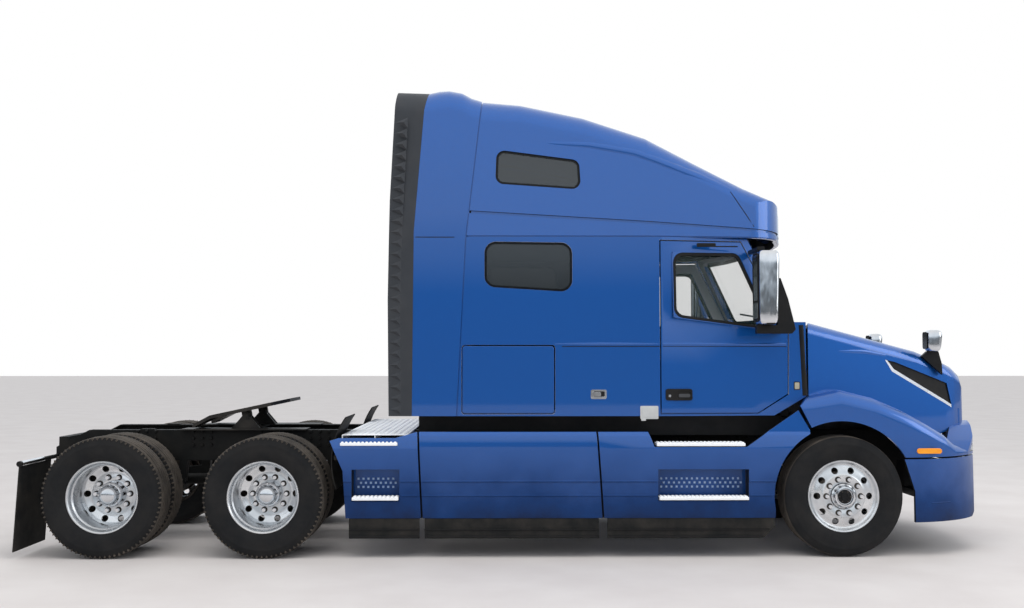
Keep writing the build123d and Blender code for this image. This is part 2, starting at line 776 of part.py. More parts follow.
def roof_volume(inset):
    """Solid roof cap, inset from the outer skin on every side but its open bottom."""
    base_z = roof_seam_z
    seam_rear_x = sleeper_rear_x + sleeper_rear_lean
    slope = radians(roof_nose_slope_deg)
    arc_x = roof_nose_top_x - inset * sin(slope)
    arc_z = roof_nose_top_z - inset * cos(slope)
    with BuildPart() as volume:
        add(rounded_loft(roof_sections, base_z - 200, base_z, side_lean, inset))
        with BuildSketch(Plane.XZ.offset(-1.5 * cab_half_width)):
            with BuildLine():
                l1 = Polyline(
                    (seam_rear_x + inset, base_z), (roof_rear_x + inset, roof_rear_z),
                    (roof_rear_x + inset + 30, roof_rear_z + 250), (arc_x, roof_rear_z + 250), (arc_x, arc_z),
                )
                l2 = TangentArc(l1 @ 1, (roof_nose_x - inset, base_z), tangent=(cos(slope), -sin(slope)))
                Line(l2 @ 1, l1 @ 0)
            make_face()
        extrude(amount=3 * cab_half_width, mode=Mode.INTERSECT)
        with BuildSketch(Plane.XY.offset(base_z)):
            with BuildLine():
                rear = sleeper_rear_x - 60
                l1 = Polyline((rear, -cab_half_width), (taper_start_x, -cab_half_width), (front_axle_x - 780, -1128))
                l2 = ThreePointArc(l1 @ 1, (front_axle_x - 530, -1010), (front_axle_x - 420, -760))
                l3 = ThreePointArc(l2 @ 1, (roof_nose_x, 0), (front_axle_x - 420, 760))
                l4 = ThreePointArc(l3 @ 1, (front_axle_x - 530, 1010), (front_axle_x - 780, 1128))
                Polyline(l4 @ 1, (taper_start_x, cab_half_width), (rear, cab_half_width), l1 @ 0)
            make_face()
            if inset:
                offset(amount=-inset, kind=Kind.INTERSECTION)
        extrude(amount=1600, mode=Mode.INTERSECT)
    return volume.part


# Grooves round the foot of the roof cap and along its ledge
with BuildPart() as roof_grooves:
    side_prism([
        (sleeper_rear_x, roof_seam_z), (sleeper_rear_x, roof_seam_z + seam_width),
        (bumper_face_x, roof_seam_z + seam_width), (bumper_face_x, roof_seam_z),
    ], -2 * cab_half_width, 2 * cab_half_width)
    side_prism([
        (sleeper_rear_x + 40, ledge_rear_z), (sleeper_rear_x + 40, ledge_rear_z + 22),
        (roof_nose_x + 40, ledge_front_z + 22), (roof_nose_x + 40, ledge_front_z),
    ], -2 * cab_half_width, 2 * cab_half_width)
    add(roof_volume(seam_depth), mode=Mode.SUBTRACT)

with BuildPart() as roof_cap:
    add(roof_volume(0))
    add(roof_volume(roof_wall), mode=Mode.SUBTRACT)
    add(roof_grooves.part, mode=Mode.SUBTRACT)
    for side in (-1, 1):
        with BuildSketch(Plane.XZ.offset(-side * (cab_half_width - side_reach / 2))):
            add(roof_window_outline(0))
        extrude(amount=-side * side_reach, mode=Mode.SUBTRACT)
save(roof_cap.part, "roof_cap")

roof_glass_outer = roof_volume(glass_inset)
roof_glass_inner = roof_volume(glass_inset + glass_thickness)
with BuildPart() as roof_windows:
    for side in (-1, 1):
        with BuildSketch(Plane.XZ.offset(-side * (cab_half_width - side_reach / 2))):
            add(roof_window_outline(0))
        extrude(amount=-side * side_reach)
    add(roof_glass_outer, mode=Mode.INTERSECT)
    add(roof_glass_inner, mode=Mode.SUBTRACT)
with BuildPart() as lower_windows:
    for side in (-1, 1):
        with BuildSketch(Plane.XZ.offset(-side * (cab_half_width - side_reach / 2))):
            add(sleeper_window_outline(0))
        extrude(amount=-side * side_reach)
    add(glass_outer, mode=Mode.INTERSECT)
    add(glass_inner, mode=Mode.SUBTRACT)
cab_windows = Compound(
    children=[*windscreen.part.solids(), *roof_windows.part.solids(), *lower_windows.part.solids()],
)
save(cab_windows, "cab_windows")


# Side panels behind the sleeper and the flexible extenders behind them


def arch_shell(side_points, wall):
    """Arch over the sleeper section, cut to a side outline, of one wall thickness."""
    with BuildPart() as shell:
        add(rounded_loft(panel_sections, cab_bottom_z, roof_seam_z, side_lean))
        add(rounded_loft(panel_sections, cab_bottom_z - wall, roof_seam_z, side_lean, wall), mode=Mode.SUBTRACT)
        side_prism(side_points, -2 * cab_half_width, 2 * cab_half_width, mode=Mode.INTERSECT)
    return shell.part


seam_top_x = sleeper_rear_x + sleeper_rear_lean
with BuildPart() as side_panels:
    add(arch_shell([
        (sleeper_rear_x, cab_bottom_z), (seam_top_x, roof_seam_z), (roof_rear_x, roof_rear_z),
        (roof_rear_x + 30, roof_rear_z + 250), (panel_top_rear_x, roof_rear_z + 250),
        (panel_top_rear_x, panel_top_z - 30), (front_axle_x - 3497, 3738), (front_axle_x - 3576, 2710),
        (panel_rear_x, cab_bottom_z),
    ], panel_wall))
    add(arch_shell([
        (sleeper_rear_x - seam_width, cab_bottom_z), (seam_top_x - seam_width, roof_seam_z),
        (roof_rear_x - seam_width, roof_rear_z), (roof_rear_x - seam_width, roof_rear_z + 250),
        (roof_rear_x + 40, roof_rear_z + 250), (roof_rear_x + 40, roof_rear_z), (seam_top_x + 40, roof_seam_z),
        (sleeper_rear_x + 40, cab_bottom_z),
    ], seam_depth), mode=Mode.SUBTRACT)
save(side_panels.part, "side_panels")

with BuildPart() as extenders:
    add(arch_shell([
        (panel_rear_x, cab_bottom_z), (front_axle_x - 3576, 2710), (front_axle_x - 3497, 3738),
        (panel_top_rear_x, panel_top_z - 30), (panel_top_rear_x, roof_rear_z + 250),
        (extender_top_rear_x, roof_rear_z + 250), (extender_top_rear_x, panel_top_z - 12),
        (front_axle_x - 3743, 3780), (front_axle_x - 3779, 2962), (extender_rear_x, 2128),
        (front_axle_x - 3777, cab_bottom_z),
    ], extender_wall))
    block((extender_rear_x - 50, panel_top_rear_x + 50), (-960, 960), (2000, 4100), mode=Mode.SUBTRACT)
save(extenders.part, "side_extenders")


# Hood: a tapering nose between two bulging fenders, as one shell


def nose_volume(inset, drop=0):
    """Middle of the hood, inset on its top, front and sides, its open ends moved out by drop."""
    with BuildPart() as volume:
        add(rounded_loft(nose_sections, hood_bottom_z - drop - 50, hood_bottom_z, 0.02, inset))
        with BuildSketch(Plane.XZ.offset(-1.5 * cab_half_width)):
            with BuildLine():
                l1 = Polyline(
                    (hood_rear_x - drop, hood_bottom_z - drop), (hood_rear_x - drop, 2200),
                    (front_axle_x + 1262, 2200), (front_axle_x + 1262, 1505),
                )
                l2 = ThreePointArc(l1 @ 1, (front_axle_x + 1312, 1420), (front_axle_x + 1336, 1320))
                Polyline(l2 @ 1, (bumper_face_x - 12, hood_bottom_z - drop), l1 @ 0)
            make_face()
            if inset:
                offset(amount=-inset)
        extrude(amount=3 * cab_half_width, mode=Mode.INTERSECT)
        with BuildSketch(Plane.XY.offset(hood_bottom_z - drop)):
            with BuildLine():
                rear = hood_rear_x - drop - 260
                l1 = Polyline((rear, -1400), (front_axle_x + 1230, -1400), (front_axle_x + 1230, -640))
                l2 = ThreePointArc(l1 @ 1, (front_axle_x + 1305, -470), (front_axle_x + 1352, -260))
                l3 = ThreePointArc(l2 @ 1, (bumper_face_x - 10, 0), (front_axle_x + 1352, 260))
                l4 = ThreePointArc(l3 @ 1, (front_axle_x + 1305, 470), (front_axle_x + 1230, 640))
                Polyline(l4 @ 1, (front_axle_x + 1230, 1400), (rear, 1400), l1 @ 0)
            make_face()
            if inset:
                offset(amount=-inset)
        extrude(amount=2200, mode=Mode.INTERSECT)
    return volume.part


def front_plan(inset, rear_x):
    """Plan outline shared by the fenders and the bumper."""
    side_y = hood_half_width
    with BuildSketch() as plan:
        with BuildLine():
            l1 = Line((rear_x, -side_y), (front_axle_x + 500, -side_y))
            l2 = ThreePointArc(l1 @ 1, (front_axle_x + 1010, -1032), (front_axle_x + 1270, -760))
            l3 = ThreePointArc(l2 @ 1, (bumper_face_x, 0), (front_axle_x + 1270, 760))
            l4 = ThreePointArc(l3 @ 1, (front_axle_x + 1010, 1032), (front_axle_x + 500, side_y))
            Polyline(l4 @ 1, (rear_x, side_y), l1 @ 0)
        make_face()
        if inset:
            offset(amount=-inset)
    return plan.sketch


def fender_volume(inset, drop=0):
    """Both fenders as one block below their crest, inset on the top, front and sides."""
    with BuildPart() as volume:
        add(rounded_loft(fender_sections, hood_bottom_z - drop - 50, hood_bottom_z, 0, inset))
        side_prism([
            (front_axle_x - 258 - drop, 1058 - drop), (front_axle_x - 354 - drop, 1248),
            (front_axle_x - 262 - drop, 1330), (front_axle_x - 262 - drop, 1500),
            (front_axle_x + 1180 - inset, 1500), (front_axle_x + 1180 - inset, hood_bottom_z - drop),
            (front_axle_x - 200 - drop, hood_bottom_z - drop),
        ], -2 * cab_half_width, 2 * cab_half_width, mode=Mode.INTERSECT)
    return volume.part


def front_prism(points, x_near, x_far):
    """Outline of one half of the front view, extruded along X on both sides of the middle plane."""
    with BuildPart() as prism:
        for side in (-1, 1):
            with BuildSketch(Plane.YZ.offset(x_near)) as outline:
                with BuildLine():
                    Polyline(*[(side * y, z) for y, z in points], close=True)
                make_face()
            extrude(outline.sketch, amount=x_far - x_near)
    return prism.part


def lamp_pod(inset, drop=0):
    """Blocks that carry the headlamps between the nose and the fenders."""
    with BuildPart() as volume:
        add(front_prism([
            (460 - drop, hood_bottom_z - drop), (460 - drop, 1090 - inset), (620, 1052 - inset), (800, 940 - inset),
            (905 - inset, hood_bottom_z + 25 - inset), (905 - inset, hood_bottom_z - drop),
        ], front_axle_x + 990 - drop, bumper_face_x + 20))
        side_prism([
            (front_axle_x + 990 - drop, hood_bottom_z - drop), (front_axle_x + 990 - drop, 900 - inset),
            (front_axle_x + 1170, 1095 - inset), (bumper_face_x + 20, 1095 - inset),
            (bumper_face_x + 20, hood_bottom_z - drop),
        ], -2 * cab_half_width, 2 * cab_half_width, mode=Mode.INTERSECT)
        with BuildSketch(Plane.XY.offset(hood_bottom_z - drop)):
            add(front_plan(inset, front_axle_x - 500))
        extrude(amount=600, mode=Mode.INTERSECT)
    return volume.part


nose_skin = nose_volume(0)
nose_inner = nose_volume(hood_wall, 150)
lens_outline = front_prism(
    [(500, 842), (500, 990), (640, 985), (785, 905), (862, 842)], front_axle_x + 1080, bumper_face_x + 20,
)
vent_outline = [
    (front_axle_x + 489, 1632), (front_axle_x + 587, 1612), (front_axle_x + 1104, 1425), (front_axle_x + 1150, 1232),
    (front_axle_x + 1150, 1208), (front_axle_x + 555, 1530),
]
chrome_outline = [
    (front_axle_x + 489, 1632), (front_axle_x + 512, 1627), (front_axle_x + 575, 1550), (front_axle_x + 1149, 1236),
    (front_axle_x + 1150, 1208), (front_axle_x + 555, 1530),
]
grille_opening = [
    (0, hood_bottom_z - 50), (0, grille_top_z), (grille_half_width - 60, grille_top_z),
    (grille_half_width, grille_top_z - 60), (grille_half_width, hood_bottom_z - 50),
]
bars_opening = [
    (0, hood_bottom_z - 50), (0, grille_top_z - grille_rim), (grille_half_width - 80, grille_top_z - grille_rim),
    (grille_half_width - grille_rim, grille_top_z - grille_rim - 40),
    (grille_half_width - grille_rim, hood_bottom_z - 50),
]
hinge_bar_x = front_axle_x + 1225
hinge_bar_z = 870

with BuildPart() as hood:
    add(nose_skin)
    add(fender_volume(0))
    add(lamp_pod(0))
    add(nose_inner, mode=Mode.SUBTRACT)
    add(fender_volume(hood_wall, 150), mode=Mode.SUBTRACT)
    add(lamp_pod(hood_wall, 150), mode=Mode.SUBTRACT)
    cross_rod(arch_centre_x, axle_z + 10, arch_radius, -1400, 1400, mode=Mode.SUBTRACT)
    with BuildSketch(Plane.XY.offset(hood_bottom_z - 100)):
        cab_plan(cowl_corner_x, cowl_corner_y, cowl_centre_x)
        offset(amount=hood_gap)
    extrude(amount=1500, mode=Mode.SUBTRACT)
    add(front_prism(grille_opening, front_axle_x + 1100, bumper_face_x + 50), mode=Mode.SUBTRACT)
    add(lens_outline, mode=Mode.SUBTRACT)
    side_prism(vent_outline, -2 * cab_half_width, 2 * cab_half_width, mode=Mode.SUBTRACT)
    cross_rod(hinge_bar_x, hinge_bar_z, 15, -570, 570)
    for side in (-1, 1):
        post_y = side * 556
        block((hinge_bar_x - 15, hinge_bar_x + 15), (post_y - 16, post_y + 16), (hinge_bar_z - 15, 1200))
        side_prism([
            (hood_hinge_x + 10, hood_hinge_z - 18), (hood_hinge_x + 20, hood_hinge_z + 8),
            (front_axle_x + 1206, 778), (hinge_bar_x + 15, hinge_bar_z + 8), (hinge_bar_x - 18, hinge_bar_z + 8),
            (front_axle_x + 1174, 762), (hood_hinge_x - 12, hood_hinge_z - 22),
        ], side * hinge_y - arm_half, side * hinge_y + arm_half)
        cross_rod(
            hood_hinge_x, hood_hinge_z, hinge_pin_radius + running_fit, side * hinge_y - 30, side * hinge_y + 30,
            mode=Mode.SUBTRACT,
        )
save(hood.part, "hood")

with BuildPart() as headlamps:
    add(lens_outline)
    add(lamp_pod(0), mode=Mode.INTERSECT)
    add(lamp_pod(hood_wall, 150), mode=Mode.SUBTRACT)
save(headlamps.part, "headlamps")

with BuildPart() as marker_lamps:
    for side in (-1, 1):
        block(
            (front_axle_x + 615, front_axle_x + 825),
            (min(side * 1080, side * 1220), max(side * 1080, side * 1220)), (850, 895),
        )
    add(rounded_loft(fender_sections, hood_bottom_z - 50, hood_bottom_z, 0, -6), mode=Mode.INTERSECT)
    add(fender_volume(0), mode=Mode.SUBTRACT)
save(marker_lamps.part, "marker_lamps")

# Grille: bright surround and vent trims, dark bars and vent mesh between them, all cut from the nose's own skin
grille_layer = nose_volume(surround_depth, 150)
bar_face = nose_volume(bar_depth, 150)
with BuildPart() as hood_trim:
    with BuildPart(mode=Mode.PRIVATE) as surround:
        add(nose_skin)
        add(grille_layer, mode=Mode.SUBTRACT)
        add(front_prism(grille_opening, front_axle_x + 1100, bumper_face_x + 50), mode=Mode.INTERSECT)
        add(front_prism(bars_opening, front_axle_x + 1100, bumper_face_x + 50), mode=Mode.SUBTRACT)
        block(
            (front_axle_x + 1100, bumper_face_x + 50), (-grille_half_width, grille_half_width),
            (hood_bottom_z - 50, grille_bottom_z), mode=Mode.SUBTRACT,
        )
    with BuildPart(mode=Mode.PRIVATE) as vent_trim:
        add(nose_skin)
        add(nose_inner, mode=Mode.SUBTRACT)
        side_prism(chrome_outline, -2 * cab_half_width, 2 * cab_half_width, mode=Mode.INTERSECT)
    add(surround.part)
    add(vent_trim.part)
save(hood_trim.part, "hood_trim")

with BuildPart() as grille:
    with BuildPart(mode=Mode.PRIVATE) as bars:
        for row in range(13):
            z = grille_bottom_z + row * 44
            block((bumper_face_x - 300, bumper_face_x + 50), (-500, 500), (z, z + 22))
        for y in (-215, 0, 215):
            block((bumper_face_x - 300, bumper_face_x + 50), (y - 9, y + 9), (grille_bottom_z, grille_top_z))
        add(front_prism(bars_opening, front_axle_x + 1100, bumper_face_x + 50), mode=Mode.INTERSECT)
        add(bar_face, mode=Mode.INTERSECT)
        add(grille_layer, mode=Mode.SUBTRACT)
    with BuildPart(mode=Mode.PRIVATE) as mesh:
        add(bar_face)
        add(nose_inner, mode=Mode.SUBTRACT)
        side_prism(vent_outline, -2 * cab_half_width, 2 * cab_half_width, mode=Mode.INTERSECT)
        side_prism(chrome_outline, -2 * cab_half_width, 2 * cab_half_width, mode=Mode.SUBTRACT)
    add(bars.part)
    add(mesh.part)
save(grille.part, "grille")

mirror_x = front_axle_x + 955
with BuildPart() as hood_mirrors:
    for side in (-1, 1):
        side_prism([
            (mirror_x - 100, 1660), (mirror_x - 40, 1715), (mirror_x + 45, 1715), (mirror_x + 75, 1600),
            (mirror_x + 80, 1500),
        ], side * 700 - 22, side * 700 + 22)
        with Locations((mirror_x, side * 730, 1800)):
            Box(150, 130, 190)
    add(nose_skin, mode=Mode.SUBTRACT)
save(hood_mirrors.part, "hood_mirrors")

# Bumper: a wrap-around shell open to the back
with BuildPart() as bumper:
    for inset in (0, bumper_wall):
        rear = 200 if inset else 0
        with BuildPart(mode=Mode.PRIVATE) as layer:
            with BuildSketch(Plane.XZ.offset(-1.5 * cab_half_width)):
                with BuildLine():
                    Polyline(
                        (front_axle_x + 508 - rear, bumper_top_z + rear), (bumper_face_x + 10, bumper_top_z + rear),
                        (bumper_face_x + 10, 452), (bumper_face_x - 24 - inset, 380 + inset),
                        (bumper_face_x - 140 - inset, 312 + inset), (bumper_face_x - 180 - inset, bumper_bottom_z - rear),
                        (front_axle_x + 592 - rear, bumper_bottom_z - rear), (front_axle_x + 592 - rear, 540),
                        close=True,
                    )
                make_face()
            extrude(amount=3 * cab_half_width)
            with BuildSketch(Plane.XY):
                add(front_plan(inset, front_axle_x - 500))
            extrude(amount=1500, mode=Mode.INTERSECT)
        add(layer.part, mode=Mode.SUBTRACT if inset else Mode.ADD)
    intake = [
        (0, intake_bottom_z), (0, intake_top_z), (intake_half_width, intake_top_z),
        (intake_half_width - 50, intake_bottom_z),
    ]
    fog = [
        (fog_inner_y, fog_bottom_z), (fog_inner_y, fog_top_z), (fog_outer_y, fog_top_z),
        (fog_outer_y, fog_bottom_z + 40), (fog_outer_y - 60, fog_bottom_z),
    ]
    add(front_prism(intake, front_axle_x + 1200, bumper_face_x + 20), mode=Mode.SUBTRACT)
    add(front_prism(fog, front_axle_x + 1200, bumper_face_x + 20), mode=Mode.SUBTRACT)
save(bumper.part, "bumper")


def bumper_band(depth_near, depth_far):
    """Upright wall between two depths behind the bumper's face."""
    with BuildPart() as band:
        with BuildSketch(Plane.XY.offset(bumper_bottom_z)):
            add(front_plan(depth_near, front_axle_x))
            add(front_plan(depth_far, front_axle_x - 100), mode=Mode.SUBTRACT)
        extrude(amount=bumper_top_z - bumper_bottom_z)
    return band.part


with BuildPart() as bumper_grille:
    for z in range(intake_bottom_z + 15, intake_top_z - 20, 34):
        block((front_axle_x + 1200, bumper_face_x), (-intake_half_width, intake_half_width), (z, z + 15))
    for y in (-180, 0, 180):
        block((front_axle_x + 1200, bumper_face_x), (y - 8, y + 8), (intake_bottom_z, intake_top_z))
    add(front_prism(intake, front_axle_x + 1200, bumper_face_x + 20), mode=Mode.INTERSECT)
    add(bumper_band(12, bumper_wall), mode=Mode.INTERSECT)
save(bumper_grille.part, "bumper_grille")

with BuildPart() as fog_lamps:
    add(front_prism(fog, front_axle_x + 1200, bumper_face_x + 20))
    add(bumper_band(0, bumper_wall), mode=Mode.INTERSECT)
    for side in (-1, 1):
        with BuildSketch(Plane.YZ.offset(front_axle_x + 1200)):
            with Locations((side * (fog_inner_y + fog_outer_y - 20) / 2, (fog_bottom_z + fog_top_z) / 2)):
                Circle(62)
        extrude(amount=400, mode=Mode.SUBTRACT)
        with BuildPart(mode=Mode.PRIVATE) as lens:
            with BuildSketch(Plane.YZ.offset(front_axle_x + 1200)):
                with Locations((side * (fog_inner_y + fog_outer_y - 20) / 2, (fog_bottom_z + fog_top_z) / 2)):
                    Circle(62)
            extrude(amount=400)
            add(bumper_band(14, bumper_wall), mode=Mode.INTERSECT)
        add(lens.part)
save(fog_lamps.part, "fog_lamps")

# Side fairings, skirts and steps
step_wells = ((-1546, -797), (-4076, -3684))
well_bottom_z = 466
well_top_z = 727
well_depth = 110
step_thickness = 24
with BuildPart() as wells:
    for side in (-1, 1):
        face_y = side * (fairing_half_width - fairing_wall)
        back_y = side * (fairing_half_width - fairing_wall - well_depth)
        y_range = (min(face_y, back_y), max(face_y, back_y))
        for rear, front in step_wells:
            block((front_axle_x + rear - 12, front_axle_x + front + 12), y_range, (well_bottom_z, well_top_z + 12))
            opened = (min(face_y, back_y + side * 12), max(face_y, back_y + side * 12))
            block((front_axle_x + rear, front_axle_x + front), opened, (478, well_top_z), mode=Mode.SUBTRACT)
        block((front_axle_x - 1556, front_axle_x - 823), y_range, (880, 912))

with BuildPart() as fairing_band:
    for side in (-1, 1):
        outer = [(side * y, z) for y, z in fairing_section]
        inner = [(side * (y - fairing_wall), z) for y, z in reversed(fairing_section)]
        with BuildSketch(Plane.YZ.offset(front_axle_x - 4300)):
            with BuildLine():
                Polyline(*outer, *inner, close=True)
            make_face()
        extrude(amount=4100)

with BuildPart() as fairing_panels:
    reach = fairing_half_width + 10
    side_prism([
        (front_axle_x - 2055 + fairing_gap, fairing_top_z), (front_axle_x - 1624, fairing_top_z),
        (front_axle_x - 1575, 912), (front_axle_x - 810, 912), (front_axle_x - 368, 1212),
        (front_axle_x - 275, 1048), (front_axle_x - 275, 500), (step_fairing_front_x, 500),
        (step_fairing_front_x, fairing_bottom_z), (front_axle_x - 2006 + fairing_gap, fairing_bottom_z),
    ], -reach, reach)
    cross_rod(arch_centre_x, axle_z + 10, arch_radius - 40, -reach, reach, mode=Mode.SUBTRACT)
    side_prism([
        (front_axle_x - 3540 + fairing_gap, fairing_top_z), (front_axle_x - 2055, fairing_top_z),
        (front_axle_x - 2006, fairing_bottom_z), (front_axle_x - 3505 + fairing_gap, fairing_bottom_z),
    ], -reach, reach)
    side_prism([
        (front_axle_x - 4262, 962), (front_axle_x - 4190, 985), (front_axle_x - 3720, 985),
        (front_axle_x - 3540, fairing_top_z), (front_axle_x - 3505, fairing_bottom_z),
        (front_axle_x - 4128, fairing_bottom_z), (front_axle_x - 4151, 715),
    ], -reach, reach)
    add(fairing_band.part, mode=Mode.INTERSECT)
    for side in (-1, 1):
        near = min(side * 1205, side * 1300)
        block((front_axle_x - 4170, front_axle_x - 3700), (near, near + 95), (925, 949), mode=Mode.SUBTRACT)
    for rear, front in step_wells:
        block(
            (front_axle_x + rear, front_axle_x + front), (-reach, reach), (well_bottom_z, well_top_z),
            mode=Mode.SUBTRACT,
        )

with BuildPart() as side_fairings:
    add(fairing_panels.part)
    add(wells.part)
    for side in (-1, 1):
        inner = side * (fairing_half_width - fairing_wall)
        rail_y = side * rail_half_spacing
        for x in (-4095, -3620, -3475, -2050, -1960, -740):
            place = front_axle_x + x
            block((place - 12, place + 12), (min(inner, rail_y), max(inner, rail_y)), (850, 880))
save(side_fairings.part, "side_fairings")

with BuildPart() as skirts:
    for side in (-1, 1):
        inner = side * (fairing_half_width - fairing_wall - 25)
        outer = side * (fairing_half_width - fairing_wall)
        for rear, front, nose in ((-4100, -3518, 0), (-3475, -2035, 0), (-1965, -580, 90)):
            side_prism([
                (front_axle_x + rear, fairing_bottom_z), (front_axle_x + rear, skirt_bottom_z),
                (front_axle_x + front - nose, skirt_bottom_z), (front_axle_x + front, skirt_bottom_z + nose + 1),
                (front_axle_x + front, fairing_bottom_z),
            ], min(inner, outer), max(inner, outer))
save(skirts.part, "side_skirts")

with BuildPart() as steps:
    for side in (-1, 1):
        for rear, front, z, root, reach in (
            (-1556, -823, 918, 1060, 1224), (-1540, -803, 478, 1115, 1245), (-4170, -3700, 925, 1205, 1245),
            (-4070, -3690, 478, 1115, 1245),
        ):
            inner = side * root
            outer = side * reach
            block(
                (front_axle_x + rear, front_axle_x + front), (min(inner, outer), max(inner, outer)),
                (z, z + step_thickness),
            )
    block((front_axle_x - 4170, front_axle_x - 3620), (-1150, 1150), (rail_top_z, rail_top_z + 8))
    for x in (-4170, -3900, -3630):
        place = front_axle_x + x
        for side in (-1, 1):
            near = side * (rail_half_spacing + 10)
            far = side * 1150
            block((place, place + 10), (min(near, far), max(near, far)), (rail_top_z - 40, rail_top_z))
save(steps.part, "steps")

# Fifth wheel: two brackets on the rails hold the pins, the tilted plate hangs on them by its ears
ear_y = 330
ear_half = 22
bracket_gap = 6
with BuildPart() as fifth_wheel_base:
    foot_top = rail_top_z + 10
    block((coupling_x - 560, coupling_x + 560), (-rail_half_spacing - 60, -250), (rail_top_z, foot_top))
    block((coupling_x - 560, coupling_x + 560), (250, rail_half_spacing + 60), (rail_top_z, foot_top))
    block((coupling_x - 90, coupling_x + 90), (-250, 250), (rail_top_z, foot_top))
    for side in (-1, 1):
        for offset_y in (ear_half + bracket_gap, -ear_half - bracket_gap - 24):
            y_near = side * ear_y + offset_y
            side_prism([
                (coupling_x - 130, foot_top), (coupling_x + 130, foot_top),
                (coupling_x + 34, coupling_pivot_z), (coupling_x - 34, coupling_pivot_z),
            ], y_near, y_near + 24)
            cross_rod(coupling_x, coupling_pivot_z, 34, y_near, y_near + 24)
        reach = ear_half + bracket_gap + 34
        cross_rod(coupling_x, coupling_pivot_z, coupling_pin_radius, side * ear_y - reach, side * ear_y + reach)
save(fifth_wheel_base.part, "fifth_wheel_base")

tilt = radians(coupling_tilt_deg)
plate_plane = Plane(
    origin=(coupling_x, 0, coupling_pivot_z), x_dir=(cos(tilt), 0, sin(tilt)), z_dir=(-sin(tilt), 0, cos(tilt)),
)
plate_top = 72
with BuildPart() as fifth_wheel_plate:
    with BuildSketch(plate_plane.offset(plate_top - plate_thickness)) as plan:
        with BuildLine():
            Polyline(
                (plate_front_reach, -250), (plate_front_reach, 250), (plate_front_reach - 130, plate_half_width),
                (-plate_rear_reach, plate_half_width), (-plate_rear_reach, 150), (-60, kingpin_bore_radius + 8),
                (-60, -kingpin_bore_radius - 8), (-plate_rear_reach, -150),
                (-plate_rear_reach, -plate_half_width), (plate_front_reach - 130, -plate_half_width), close=True,
            )
        make_face()
        with Locations((0, 0)):
            Circle(kingpin_bore_radius, mode=Mode.SUBTRACT)
        with Locations((-40, 0)):
            Rectangle(80, 2 * kingpin_bore_radius, mode=Mode.SUBTRACT)
    extrude(amount=plate_thickness)
    for side in (-1, 1):
        ramp_plane = Plane(
            origin=plate_plane.from_local_coords((0, side * 165 if side > 0 else -plate_half_width, 0)),
            x_dir=plate_plane.x_dir, z_dir=(0, -1, 0),
        )
        with BuildSketch(ramp_plane):
            with BuildLine():
                Polyline(
                    (-plate_rear_reach + 2, plate_top), (-plate_rear_reach + 2, plate_top - plate_thickness),
                    (-plate_ramp_reach, plate_top - plate_thickness - 46), (-plate_ramp_reach, plate_top - 50),
                    close=True,
                )
            make_face()
        extrude(amount=-(plate_half_width - 165))
        with BuildSketch(Plane.XZ.offset(-side * ear_y - ear_half)):
            with Locations((coupling_x, coupling_pivot_z)):
                Circle(42)
            with Locations(Location((coupling_x - sin(tilt) * 25, coupling_pivot_z + cos(tilt) * 25), coupling_tilt_deg)):
                Rectangle(84, 50)
        extrude(amount=2 * ear_half)
        cross_rod(
            coupling_x, coupling_pivot_z, coupling_pin_radius + running_fit, side * ear_y - ear_half - 5,
            side * ear_y + ear_half + 5, mode=Mode.SUBTRACT,
        )
save(fifth_wheel_plate.part, "fifth_wheel_plate")

# Splash guards: curved quarter fenders ahead of the drive wheels, flaps on hangers at the back
with BuildPart() as quarter_fenders:
    for side in (-1, 1):
        near = side * 620
        far = side * 1170
        with BuildSketch(Plane.XZ.offset(-max(near, far))):
            with BuildLine():
                guard = ThreePointArc(
                    (front_axle_x - 4205, 560), (front_axle_x - 4235, 900), (front_axle_x - 4130, 1152),
                )
                back = ThreePointArc(
                    (front_axle_x - 4215, 560), (front_axle_x - 4245, 903), (front_axle_x - 4139, 1158),
                )
                Line(guard @ 0, back @ 0)
                Line(guard @ 1, back @ 1)
            make_face()
        extrude(amount=abs(far - near))
        root = side * rail_half_spacing
        block((front_axle_x - 4232, front_axle_x - 4196), (min(root, far), max(root, far)), (800, 840))

with BuildPart() as mudflaps:
    for side in (-1, 1):
        near = side * 600
        far = side * 1210
        side_prism([
            (rear_edge_x + 38, flap_top_z - 18), (rear_edge_x + 50, flap_top_z - 18),
            (rear_edge_x + 12, 55), (rear_edge_x, 55),
        ], min(near, far), max(near, far))
save(Compound(children=[*quarter_fenders.part.solids(), *mudflaps.part.solids()]), "splash_guards")

with BuildPart() as tail_lamps:
    with BuildSketch(Plane.YZ.offset(rail_rear_x + 20)):
        with Locations((-290, 830), (-150, 830), (150, 830), (290, 830)):
            Circle(52)
    extrude(amount=-30)
save(tail_lamps.part, "tail_lamps")

# Cab mirrors on the doors: chrome head, black arms
head_x = front_axle_x - 680
head_y = -1420
with BuildPart() as mirror_right:
    with BuildSketch(Plane.XY.offset(1915)):
        with Locations((head_x, head_y)):
            RectangleRounded(180, 230, 60)
    extrude(amount=605)
save(mirror_right.part, "mirror_head_right")
save(other_side(mirror_right.part), "mirror_head_left")

with BuildPart() as arm_right:
    side_prism([
        (front_axle_x - 760, 1845), (front_axle_x - 470, 1845), (front_axle_x - 440, 1880),
        (front_axle_x - 500, 2130), (front_axle_x - 560, 2300), (front_axle_x - 590, 2300),
        (front_axle_x - 590, 1915), (front_axle_x - 760, 1915),
    ], -1400, -1340)
    block((front_axle_x - 620, front_axle_x - 480), (-1345, -1112), (1850, 1890))
    block((front_axle_x - 760, front_axle_x - 700), (-1440, -1110), (2520, 2552))
    add(cab_outer, mode=Mode.SUBTRACT)
save(arm_right.part, "mirror_arms_right")
save(other_side(arm_right.part), "mirror_arms_left")

